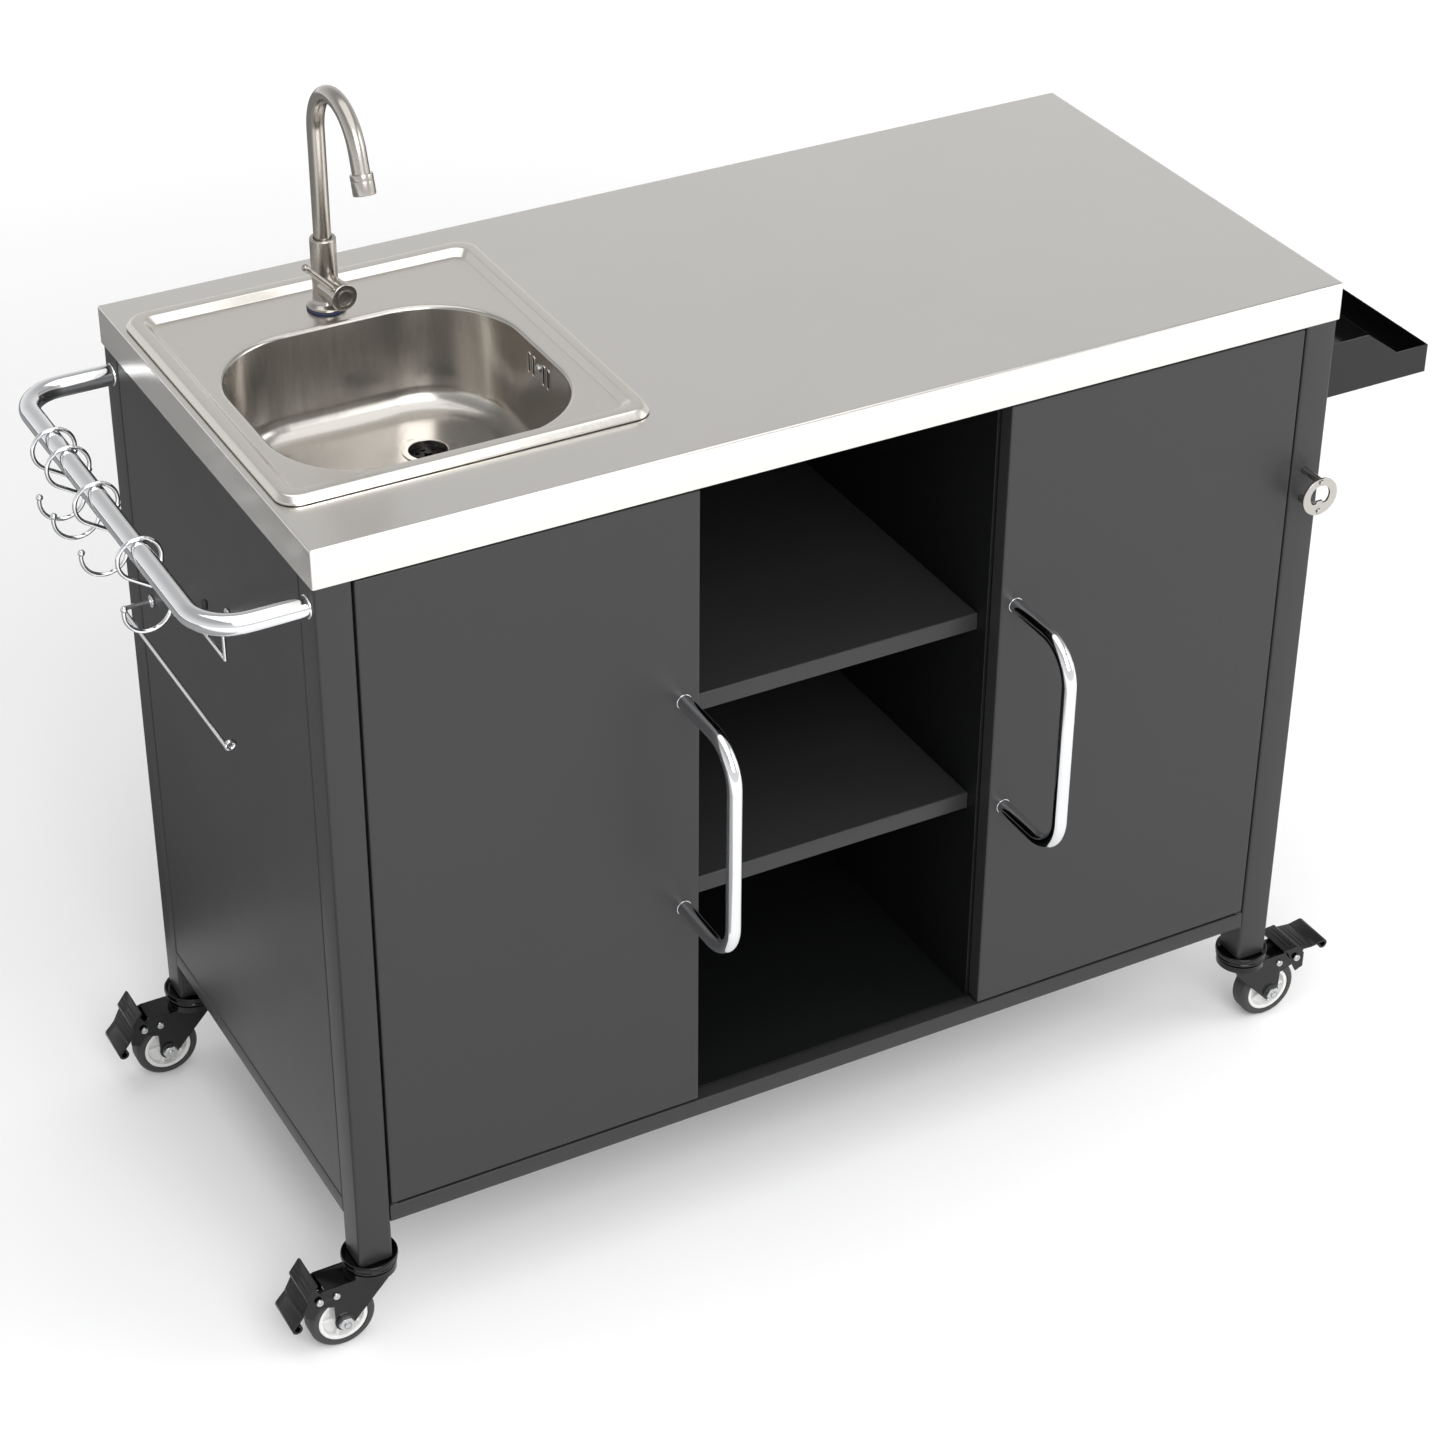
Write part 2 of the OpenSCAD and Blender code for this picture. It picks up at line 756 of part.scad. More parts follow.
module frame_screws() {
    head = 2;
    color("silver") {
        for (y = [-leg_y + 14, leg_y - 14])
            for (z = [tray_z + 15, tray_z + 48])
                translate([out_x + 1.9, y * 0.96, z]) rotate([0, 90, 0]) cylinder(r = 4, h = head);
        for (x = [-in_x + 9, in_x - 9])
            for (y = [-in_y + 16, in_y - 16])
                translate([x * 0.985, y, rail_top + 0.1]) cylinder(r = 4.5, h = head);
    }
}

// ---------- casters ----------
module at_caster(sx, sy) {
    translate([sx * leg_x, sy * leg_y, 0]) mirror([sx > 0 ? 1 : 0, 0, 0]) children();
}

module caster_stem() {
    s = leg_s / 2 - leg_wall - 0.2;
    union() {
        box([-s, -s, leg_z - 2], [s, s, leg_z + 40]);
        difference() {
            translate([0, 0, 97]) cylinder(r = 30, h = 11);
            translate([0, 0, 104]) cylinder(r = 27.6, h = 5);
        }
        translate([0, 0, 80]) cylinder(r = 6, h = 18);
        translate([0, 0, 77]) cylinder(r = 10, h = 6, $fn = 6);
    }
}

module caster_stems() {
    color("black")
    for (sx = [-1, 1])
        for (sy = [-1, 1])
            at_caster(sx, sy) caster_stem();
}

module fork_side() {
    y0 = 14;
    translate([0, y0 + 2.5, 0]) rotate([90, 0, 0]) linear_extrude(2.5)
        union() {
            polygon([[18, 89], [14, 78], [-trail + 11, axle_z - 4], [-trail - 10, axle_z - 5],
                     [-trail - 11, 62], [-66, 68], [-72, 56], [-82, 60], [-82, 80], [-58, 89]]);
            translate([-trail, axle_z]) circle(11);
        }
}

module fork() {
    color("black")
    difference() {
        union() {
            translate([0, 0, 88]) cylinder(r = 28.5, h = 7.5);
            box([-58, -16.5, 86], [18, 16.5, 89]);
            both_y() fork_side();
            translate([-trail, 24, axle_z]) rotate([90, 0, 0]) cylinder(r = 4, h = 48);
            for (s = [-1, 1])
                translate([-trail, s * 19.7, axle_z]) rotate([90, 0, 0])
                    cylinder(r = 7.6, h = 6.4, center = true, $fn = 6);
            translate([-67, 22, 81]) rotate([90, 0, 0]) cylinder(r = 2.5, h = 44);
            for (s = [-1, 1]) {
                translate([-67, s * 22.6, 81]) rotate([90, 0, 0]) cylinder(r = 4, h = 1.4, center = true);
                translate([-46, s * 17.2, 77]) rotate([90, 0, 0]) cylinder(r = 4, h = 1.6, center = true);
            }
        }
        translate([0, 0, 80]) cylinder(r = 6 + fit, h = 20);
    }
}

module tyre() {
    color("black")
    translate([-trail, 0, axle_z]) rotate([90, 0, 0])
        rotate_extrude() difference() {
            union() {
                translate([28.3, -8]) square([wheel_r - 28.3, 16]);
                translate([28.3, -12]) square([wheel_r - 32.3, 24]);
                for (s = [-8, 8])
                    translate([wheel_r - 4, s]) circle(4);
            }
            translate([20, -15]) square([8.3, 30]);
        }
}

module hub() {
    color("white")
    translate([-trail, 0, axle_z]) rotate([90, 0, 0]) union() {
        rotate_extrude() polygon([[4 + fit, -12.5], [9, -12.5], [9, -4], [23, -4], [23, -11], [28, -11],
                                  [28, 11], [23, 11], [23, 4], [9, 4], [9, 12.5], [4 + fit, 12.5]]);
        for (k = [0:4])
            rotate([0, 0, k * 72]) box([8.5, -2, -8], [23.5, 2, 8]);
    }
}

// brake lever about its pin; level when released, turned down by pedal_swing when pressed
module pedal(down) {
    color("black")
    translate([-67, 0, 81]) rotate([0, -down, 0]) difference() {
        union() {
            box([-36, -24, 12], [21, 24, 14.5]);
            translate([-36, 24, 9.5]) rotate([90, 0, 0]) cylinder(r = 5, h = 48);
            both_y() translate([0, 20, 0]) rotate([90, 0, 0]) linear_extrude(2) union() {
                polygon([[-14, 13], [14, 13], [5.5, -1], [-5.5, -1]]);
                circle(5.6);
            }
        }
        translate([0, 30, 0]) rotate([90, 0, 0]) cylinder(r = 2.5 + fit, h = 60);
        translate([-36, 30, 9.5]) rotate([90, 0, 0]) cylinder(r = 2.6, h = 60);
    }
}

module fork_fl() {
    at_caster(-1, -1) fork();
}

module fork_fr() {
    at_caster(1, -1) fork();
}

module fork_bl() {
    at_caster(-1, 1) fork();
}

module fork_br() {
    at_caster(1, 1) fork();
}

module tyre_fl() {
    at_caster(-1, -1) tyre();
}

module tyre_fr() {
    at_caster(1, -1) tyre();
}

module tyre_bl() {
    at_caster(-1, 1) tyre();
}

module tyre_br() {
    at_caster(1, 1) tyre();
}

module hub_fl() {
    at_caster(-1, -1) hub();
}

module hub_fr() {
    at_caster(1, -1) hub();
}

module hub_bl() {
    at_caster(-1, 1) hub();
}

module hub_br() {
    at_caster(1, 1) hub();
}

module pedal_fl() {
    at_caster(-1, -1) pedal(pedal_swing);
}

module pedal_fr() {
    at_caster(1, -1) pedal(0);
}

module pedal_bl() {
    at_caster(-1, 1) pedal(pedal_swing);
}

module pedal_br() {
    at_caster(1, 1) pedal(0);
}

// ---------- selection ----------

countertop();
top_battens();
sink_basin();
sink_seal();
sink_clips();
drain_flange();
strainer_basket();
drain_nut();
bottle_trap();
overflow_housing();
faucet_gasket();
faucet_body();
faucet_nut();
spout();
aerator();
valve_handle();
side_frame_left();
side_frame_right();
cross_rails();
side_panel_left();
side_panel_right();
back_panel();
floor_panel();
divider_left();
divider_right();
shelf_upper();
shelf_lower();
hinge_pins();
door_magnets();
door_left();
door_right();
handle_left();
handle_right();
towel_bar();
s_hook_1();
s_hook_2();
s_hook_3();
s_hook_4();
paper_rod();
prong_hook();
side_tray();
bottle_opener();
frame_screws();
caster_stems();
fork_fl();
fork_fr();
fork_bl();
fork_br();
tyre_fl();
tyre_fr();
tyre_bl();
tyre_br();
hub_fl();
hub_fr();
hub_bl();
hub_br();
pedal_fl();
pedal_fr();
pedal_bl();
pedal_br();
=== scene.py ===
"""Surfaces and finishes of a wheeled steel wash station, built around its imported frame.

The frame is in metres, +Z up, the floor at z = 0, the doors facing -Y. Shapes are worked out in millimetres.
"""

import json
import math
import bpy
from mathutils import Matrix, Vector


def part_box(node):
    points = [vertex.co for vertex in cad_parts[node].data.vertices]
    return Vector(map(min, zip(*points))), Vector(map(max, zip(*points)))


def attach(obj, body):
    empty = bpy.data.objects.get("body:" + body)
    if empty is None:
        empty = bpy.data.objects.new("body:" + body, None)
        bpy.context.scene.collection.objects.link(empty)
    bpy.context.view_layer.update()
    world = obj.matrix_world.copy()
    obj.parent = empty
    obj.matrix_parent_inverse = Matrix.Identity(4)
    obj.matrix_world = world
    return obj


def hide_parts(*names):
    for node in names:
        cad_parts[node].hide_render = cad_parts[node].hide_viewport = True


bl_info = {
    "name": "Wash Station Cart",
    "version": (1, 0, 0),
    "blender": (4, 5, 0),
    "location": "3D View > Sidebar > Wash Station",
    "description": "Builds the worktop, sink, tap, doors, rails and casters of a wheeled wash station",
    "category": "Add Mesh",
}

import bmesh
import bpy
import numpy as np
from bpy.props import FloatProperty, FloatVectorProperty, PointerProperty

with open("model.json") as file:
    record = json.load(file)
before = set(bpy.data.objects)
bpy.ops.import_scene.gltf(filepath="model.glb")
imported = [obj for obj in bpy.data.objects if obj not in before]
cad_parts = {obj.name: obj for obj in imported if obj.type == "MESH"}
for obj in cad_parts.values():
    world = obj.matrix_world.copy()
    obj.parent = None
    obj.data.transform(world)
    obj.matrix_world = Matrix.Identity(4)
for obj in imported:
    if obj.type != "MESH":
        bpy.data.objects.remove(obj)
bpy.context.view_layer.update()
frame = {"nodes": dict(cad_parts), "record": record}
MM = 0.001
CORNERS = ("fl", "fr", "bl", "br")

# sizes shared by several pieces, in millimetres and degrees
SHEET = 1.2  # panels, doors and shelves
LEG = 38.0  # side of the square leg tube
RAIL_D, RAIL_H = 20.0, 21.0  # section of the frame rails
UPPER_RAIL = 937.0  # underside of the upper rails
TRAIL, AXLE_Z = 38.0, 37.0  # caster axle: distance from the swivel axis, and height
PIVOT_X, PIVOT_Z = 67.0, 81.0  # brake lever pivot: distance from the swivel axis, and height
PRESSED = 57.0  # turn of a pressed brake lever
VALVE_Z, VALVE_TURN = 1006.0, 8.0  # side barrel of the tap: height, and turn away from the front
LEVER_LEAN = 133.0  # turn of the pin lever from level
SHARP = 34.0  # folds steeper than this shade as edges


# ---------- colours and sizes a user would change ----------
def linear(code):
    """An sRGB hex colour such as #c4c0bb as linear red, green and blue."""
    v = np.array([int(code[i:i + 2], 16) for i in (1, 3, 5)]) / 255
    return tuple(np.where(v <= 0.04045, v / 12.92, ((v + 0.055) / 1.055) ** 2.4))


def box(node):
    """Lowest corner, highest corner and middle of a frame node, in millimetres."""
    lo, hi = (np.array(corner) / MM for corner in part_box(node))
    return lo, hi, (lo + hi) / 2


def swatch(name, description, code):
    """A colour property whose default is the hex colour."""
    return FloatVectorProperty(name=name, description=description, subtype="COLOR", size=3,
                               min=0, max=1, default=linear(code))


def length(name, description, mm):
    """A length property whose default is given in millimetres."""
    return FloatProperty(name=name, description=description, subtype="DISTANCE", unit="LENGTH",
                         min=0.0001, max=0.2, default=mm * MM)


class CartColours(bpy.types.PropertyGroup):
    """Base colours of the finishes."""
    worktop: swatch("Worktop", "Brushed stainless sheet of the worktop", "#dedbd7")
    sink: swatch("Sink", "Satin stainless of the sink", "#dcd8d2")
    tap: swatch("Tap", "Brushed stainless of the tap", "#aeaaa4")
    chrome: swatch("Chrome", "Polished rails, hooks and handles", "#e3e4e6")
    cabinet: swatch("Cabinet", "Charcoal powder coat", "#2b2b2c")
    # inside: the cabinet's charcoal darkened, as painted shade on the back, floor and divider sheets inside the bays
    inside: swatch("Inside", "Charcoal powder coat on the inner sheets, darkened as painted shade", "#101111")
    gloss_black: swatch("Black coat", "Semi-gloss black of the tray and casters", "#090909")
    tread: swatch("Tread", "Polyurethane tread of the wheels", "#303030")
    wheel: swatch("Wheel centre", "Moulded wheel centre", "#dcdcda")
    fittings: swatch("Waste fittings", "Moulded waste pipe and trap", "#dcdcd6")
    gasket: swatch("Gasket", "Soft seal below the tap", "#232c4a")
    floor: swatch("Floor", "Pale studio floor", "#f2f2f2")


class CartSizes(bpy.types.PropertyGroup):
    """Sizes of edges, tubes and wires."""
    worktop_edge: length("Worktop edge", "Radius of the fold around the worktop", 2.4)
    panel_edge: length("Panel edge", "Radius of the folds of doors and panels", 1.8)
    leg_edge: length("Leg edge", "Corner radius of the square leg tube", 3.0)
    rail_radius: length("Rail radius", "Radius of the towel rail tube", 11.0)
    grip_radius: length("Handle radius", "Radius of the door handle tube", 8.0)
    wire_radius: length("Hook wire radius", "Radius of the wire of the hanging hooks", 2.2)
    spout_radius: length("Spout radius", "Radius of the spout tube", 9.0)
    bead: length("Bevel", "Width of the small bevel on copied sheet parts", 0.55)


def sizes():
    return bpy.context.scene.cart_sizes


def colours():
    return bpy.context.scene.cart_colours


# ---------- shapes as arrays, in millimetres ----------
def unit(v):
    v = np.asarray(v, float)
    return v / np.linalg.norm(v, axis=-1, keepdims=True)


def outline(width, depth, radius, steps=8):
    """A rounded rectangle, anticlockwise: four quarter circles of the radius about the inset corners.
    Every outline has 4 * steps points, so any two can be joined. A radius of half the width and depth
    gives a circle."""
    quarter = np.linspace(0, np.pi / 2, steps)
    angle = (quarter[None, :] + np.arange(4)[:, None] * np.pi / 2).ravel()
    sx = np.repeat([1, -1, -1, 1], steps)
    sy = np.repeat([1, 1, -1, -1], steps)
    return np.stack([sx * (width / 2 - radius) + radius * np.cos(angle),
                     sy * (depth / 2 - radius) + radius * np.sin(angle)], 1)


def bent(corners, radii, steps=8, closed=False):
    """A line through corners with each corner replaced by an arc that touches both sides.
    The arc starts radius * tan(turn / 2) from its corner and is the even blend of its two end directions."""
    p = np.asarray(corners, float)
    count = len(p)
    radii = np.broadcast_to(np.asarray(radii, float), count)
    parts = []
    for i in range(count):
        if radii[i] <= 0 or (not closed and i in (0, count - 1)):
            parts.append(p[i][None])
            continue
        a, b = unit(p[i - 1] - p[i]), unit(p[(i + 1) % count] - p[i])
        turn = np.pi - np.arccos(np.clip(a @ b, -1, 1))
        if turn < 1e-4:
            parts.append(p[i][None])
            continue
        reach = radii[i] * np.tan(turn / 2)
        centre = p[i] + unit(a + b) * radii[i] / np.cos(turn / 2)
        first, last = p[i] + a * reach - centre, p[i] + b * reach - centre
        w = np.linspace(0, turn, steps)[:, None]
        parts.append(centre + (np.sin(turn - w) * first + np.sin(w) * last) / np.sin(turn))
    return np.concatenate(parts)


def stack(rows, steps=8):
    """Rounded rectangles one above another. Each row is width, depth, corner radius, x, y, z of its middle."""
    return np.stack([np.column_stack([outline(w, d, r, steps) + (x, y), np.full(4 * steps, z)])
                     for w, d, r, x, y, z in rows])


def axes_of(normal):
    """Two unit vectors at right angles to the normal, and the normal."""
    n = unit(normal)
    u = unit(np.cross(n, (0, 0, 1) if abs(n[2]) < 0.9 else (1, 0, 0)))
    return u, np.cross(n, u), n


def placed(rings, origin, u, v, n):
    """Moves rings from their own x, y, z to origin + x u + y v + z n."""
    basis = np.array([u, v, n], float)
    return rings @ basis + np.asarray(origin, float)


def lathe(profile, origin=(0, 0, 0), axis=(0, 0, 1), sides=48, phase=0.0):
    """A profile of radius and height turned about an axis: origin + radius (cos a u + sin a v) + height n."""
    profile = np.asarray(profile, float)
    a = np.linspace(0, 2 * np.pi, sides, endpoint=False) + phase
    rings = np.stack([profile[:, :1] * np.cos(a), profile[:, :1] * np.sin(a),
                      np.broadcast_to(profile[:, 1:], (len(profile), sides))], 2)
    return placed(rings, origin, *axes_of(axis))


def tube(path, radius, plane, sides=24):
    """A tube along a flat path: each point carries a circle spanned by the plane's normal and
    that normal crossed with the path's direction. The radius may change along the path."""
    path = np.asarray(path, float)
    normal = unit(plane)
    across = unit(np.cross(normal, np.gradient(path, axis=0)))
    a = np.linspace(0, 2 * np.pi, sides, endpoint=False)
    radius = np.broadcast_to(np.asarray(radius, float), len(path))[:, None, None]
    return path[:, None] + radius * (np.cos(a)[None, :, None] * normal + np.sin(a)[None, :, None] * across[:, None])


def ball(centre, radius, sides=24):
    """A sphere as a turned half circle."""
    t = np.linspace(-np.pi / 2, np.pi / 2, sides // 2 + 1)
    profile = np.stack([radius * np.cos(t), radius * np.sin(t)], 1)
    profile[[0, -1], 0] = 0
    return lathe(profile, centre, sides=sides)


def slab(width, depth, corner, height, edge, steps=5):
    """A rounded rectangle raised by height, with both its rims rounded by a quarter circle of the edge radius.
    Next to each rim lies one flat ring, so the flat faces shade flat."""
    t = np.linspace(0, np.pi / 2, 4)
    low = [(edge * (1 - np.sin(a)), edge * (1 - np.cos(a))) for a in t]
    high = [(i, height - z) for i, z in reversed(low)]
    rows = [(edge + 1.2 * edge, 0.0)] + low + high + [(edge + 1.2 * edge, height)]
    return stack([(width - 2 * i, depth - 2 * i, max(corner - i, 0.05), 0, 0, z) for i, z in rows], steps)


def folded_sheet(width, depth, corner, fold, edge, lip=15.0):
    """A sheet with its face up and its four sides folded down: across the face, round the fold, down the side,
    in along the lip and up the inside. Its first and last rings close the inside and the face."""
    t = np.linspace(0, np.pi / 2, 6)
    rows = [(lip, -SHEET), (lip, -fold), (SHEET + 0.3, -fold), (0.35, -fold), (0, -fold + 0.35), (0, -edge)]
    rows += [(edge * (1 - np.cos(a)), -edge * (1 - np.sin(a))) for a in t[1:]] + [(edge + 2.0, 0)]
    return stack([(width - 2 * i, depth - 2 * i, max(corner - i, 0.1), 0, 0, z) for i, z in rows], 5)


class Shape:
    """Points and faces of one piece, gathered surface by surface."""

    def __init__(self):
        self.points, self.faces, self.kinds, self.count = [], [], [], 0

    def skin(self, rings, kind=0, caps=True, loop=False):
        """Joins each ring to the next with quads. loop joins the last ring to the first, caps closes both ends.
        kind is the finish, or one finish for each band between two rings."""
        rings = np.asarray(rings, float)
        rows, around = rings.shape[:2]
        index = np.arange(rows * around).reshape(rows, around) + self.count
        joined = np.vstack([index, index[:1]]) if loop else index
        a, b = joined[:-1], joined[1:]
        quads = np.stack([a, np.roll(a, -1, 1), np.roll(b, -1, 1), b], 2).reshape(-1, 4).tolist()
        if caps and not loop:
            quads += [index[0, ::-1].tolist(), index[-1].tolist()]
        self.points.append(rings.reshape(-1, 3))
        self.faces += quads
        bands = np.broadcast_to(kind, len(a)).repeat(around).tolist()
        self.kinds += bands + bands[-1:] * (len(quads) - len(bands))
        self.count += rows * around
        return self

    def mesh(self, name):
        """The gathered surfaces as a Blender mesh in metres, with doubles merged and faces pointing outwards."""
        mesh = bpy.data.meshes.new(name)
        mesh.from_pydata((np.concatenate(self.points) * MM).tolist(), [], self.faces)
        mesh.polygons.foreach_set("material_index", self.kinds)
        work = bmesh.new()
        work.from_mesh(mesh)
        bmesh.ops.remove_doubles(work, verts=work.verts, dist=2e-6)
        bmesh.ops.recalc_face_normals(work, faces=work.faces)
        work.to_mesh(mesh)
        work.free()
        mesh.shade_smooth()
        mesh.set_sharp_from_angle(angle=math.radians(SHARP))
        return mesh


def add_piece(name, shape, body, finishes, nodes=()):
    """Puts a shape in the scene as one piece that rides on a body and stands for frame nodes.
    finishes holds names from FINISH, in the order of the shape's kinds, with spaces between them."""
    mesh = shape.mesh(name) if isinstance(shape, Shape) else shape
    piece = bpy.data.objects.new(name, mesh)
    bpy.context.scene.collection.objects.link(piece)
    for finish in finishes.split():
        mesh.materials.append(FINISH[finish])
    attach(piece, body)
    if nodes:
        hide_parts(*nodes)
    return piece


def body_of(node):
    """The body that a frame node belongs to."""
    return next(b for b, members in frame["record"]["behaviour"]["bodies"].items() if node in members)


def softened(node, name, finish, edge=None, segments=2):
    """A copy of a frame node with its doubles merged, its flat areas joined and a live bevel on its edges."""
    mesh = frame["nodes"][node].data.copy()
    mesh.name = name
    mesh.materials.clear()
    work = bmesh.new()
    work.from_mesh(mesh)
    bmesh.ops.remove_doubles(work, verts=work.verts, dist=1e-5)
    bmesh.ops.dissolve_limit(work, angle_limit=math.radians(0.8), verts=work.verts, edges=work.edges)
    for face in work.faces:
        face.material_index = 0
    work.to_mesh(mesh)
    work.free()
    mesh.shade_smooth()
    mesh.set_sharp_from_angle(angle=math.radians(SHARP))
    piece = add_piece(name, mesh, body_of(node), finish, [node])
    bevel = piece.modifiers.new("Folded edges", "BEVEL")
    bevel.width = edge * MM if edge else sizes().bead
    bevel.segments = segments
    bevel.limit_method = "ANGLE"
    bevel.angle_limit = math.radians(38)
    bevel.harden_normals = True
    return piece


# ---------- finishes ----------
def add(tree, kind, settings=None, links=None):
    """Adds one node. A setting goes to the node's property of that name, or else to its input."""
    node = tree.nodes.new("ShaderNode" + kind)
    for key, value in (settings or {}).items():
        if isinstance(key, str) and hasattr(node, key):
            setattr(node, key, value)
        else:
            node.inputs[key].default_value = value
    for key, output in (links or {}).items():
        tree.links.new(output, node.inputs[key])
    return node


def start_material(name):
    """An empty material, its node tree, and object coordinates in metres."""
    material = bpy.data.materials.new(name)
    material.use_nodes = True
    tree = material.node_tree
    tree.nodes.clear()
    return material, tree, add(tree, "TexCoord").outputs["Object"]


def end_material(tree, colour, metallic, roughness, normal=None, **constants):
    """The surface shader. colour and roughness may be a value or a node's output."""
    shader = add(tree, "BsdfPrincipled", {"Metallic": metallic, **constants})
    for socket, value in (("Base Color", colour), ("Roughness", roughness)):
        if isinstance(value, bpy.types.NodeSocket):
            tree.links.new(value, shader.inputs[socket])
        else:
            shader.inputs[socket].default_value = value
    if normal is not None:
        tree.links.new(normal, shader.inputs["Normal"])
    add(tree, "OutputMaterial", links={"Surface": shader.outputs["BSDF"]})


def shade(colour, factor):
    """A linear colour made lighter or darker, with alpha."""
    return tuple(min(1.0, c * factor) for c in colour) + (1.0,)


def ramp(tree, value, low, high):
    """Blends two colours or two numbers by a 0 to 1 value."""
    if isinstance(low, tuple):
        return add(tree, "Mix", {"data_type": "RGBA", 6: low, 7: high}, {0: value}).outputs[2]
    return add(tree, "MapRange", {"To Min": low, "To Max": high}, {"Value": value}).outputs[0]


def brushed_steel(name, colour, grain, roughness, depth=0.02, marks=0.05):
    """Brushed stainless: long parallel scratches from an abrasive belt, which stretch highlights across them.
    grain is the scratch frequency per metre along X, Y and Z. Real lines are about 0.2 mm apart;
    these are drawn 1 to 8 mm apart so that they show. Faint cloudy marks are what wiping leaves."""
    material, tree, where = start_material(name)
    turned = add(tree, "Mapping", {"Scale": grain}, {"Vector": where})
    lines = add(tree, "TexNoise", {"Scale": 1.0, "Detail": 4.0, "Roughness": 0.6}, {"Vector": turned.outputs[0]})
    clouds = add(tree, "TexNoise", {"Scale": 7.0, "Detail": 3.0, "Roughness": 0.55}, {"Vector": where})
    tone = ramp(tree, clouds.outputs[0], shade(colour, 1 - marks), shade(colour, 1 + marks))
    tinted = add(tree, "Mix", {"data_type": "RGBA", "blend_type": "MULTIPLY", 0: 0.35}, {
        6: tone, 7: ramp(tree, lines.outputs[0], (0.9, 0.9, 0.9, 1), (1, 1, 1, 1))})
    rough = add(tree, "Math", {"operation": "ADD"}, {
        0: ramp(tree, lines.outputs[0], roughness - 0.05, roughness + 0.05),
        1: ramp(tree, clouds.outputs[0], -0.02, 0.02)})
    bump = add(tree, "Bump", {"Strength": 0.35, "Distance": depth * MM}, {"Height": lines.outputs[0]})
    end_material(tree, tinted.outputs[2], 1.0, rough.outputs[0], bump.outputs[0])
    return material


def polished_chrome(name, colour):
    """Chrome plating over polished steel tube: a near mirror, with faint haze from handling."""
    material, tree, where = start_material(name)
    haze = add(tree, "TexNoise", {"Scale": 35.0, "Detail": 4.0, "Roughness": 0.6}, {"Vector": where})
    end_material(tree, ramp(tree, haze.outputs[0], shade(colour, 0.95), shade(colour, 1.02)), 1.0,
                 ramp(tree, haze.outputs[0], 0.05, 0.14))
    return material


def powder_coat(name, colour, roughness, peel=0.03, spread=0.05, ior=1.5):
    """Baked powder paint: a satin plastic film with a fine orange peel, about 1 mm from dimple to dimple.
    The slow noise is the uneven thickness of the film, which shows as slightly lighter and darker areas."""
    material, tree, where = start_material(name)
    dimples = add(tree, "TexNoise", {"Scale": 900.0, "Detail": 2.0, "Roughness": 0.5}, {"Vector": where})
    film = add(tree, "TexNoise", {"Scale": 4.0, "Detail": 4.0, "Roughness": 0.6}, {"Vector": where})
    tone = ramp(tree, film.outputs[0], shade(colour, 1 - spread), shade(colour, 1 + spread))
    rough = ramp(tree, film.outputs[0], roughness - 0.05, roughness + 0.05)
    bump = add(tree, "Bump", {"Strength": 0.25, "Distance": peel * MM}, {"Height": dimples.outputs[0]})
    end_material(tree, tone, 0.0, rough, bump.outputs[0], IOR=ior)
    return material


def moulded(name, colour, roughness, grain=1400.0, depth=0.03, spread=0.05, scuff=0.0):
    """Moulded plastic or rubber: spark-eroded texture of about 0.7 mm and, on a tread, lighter scuffs."""
    material, tree, where = start_material(name)
    texture = add(tree, "TexNoise", {"Scale": grain, "Detail": 2.0}, {"Vector": where})
    slow = add(tree, "TexNoise", {"Scale": 60.0, "Detail": 5.0, "Roughness": 0.7}, {"Vector": where})
    tone = ramp(tree, slow.outputs[0], shade(colour, 1 - spread), shade(colour, 1 + spread + scuff))
    rough = ramp(tree, slow.outputs[0], roughness - 0.06, roughness + 0.06)
    bump = add(tree, "Bump", {"Strength": 0.3, "Distance": depth * MM}, {"Height": texture.outputs[0]})
    end_material(tree, tone, 0.0, rough, bump.outputs[0], IOR=1.5)
    return material


def plated_steel(name, colour, roughness):
    """Bright zinc plating or turned brass on small fasteners: metal with a fine mottled grain."""
    material, tree, where = start_material(name)
    mottle = add(tree, "TexNoise", {"Scale": 260.0, "Detail": 4.0, "Roughness": 0.65}, {"Vector": where})
    bump = add(tree, "Bump", {"Strength": 0.2, "Distance": 0.03 * MM}, {"Height": mottle.outputs[0]})
    end_material(tree, ramp(tree, mottle.outputs[0], shade(colour, 0.86), shade(colour, 1.06)), 1.0,
                 ramp(tree, mottle.outputs[0], roughness - 0.07, roughness + 0.07), bump.outputs[0])
    return material


FINISH = {}  # finish name to material


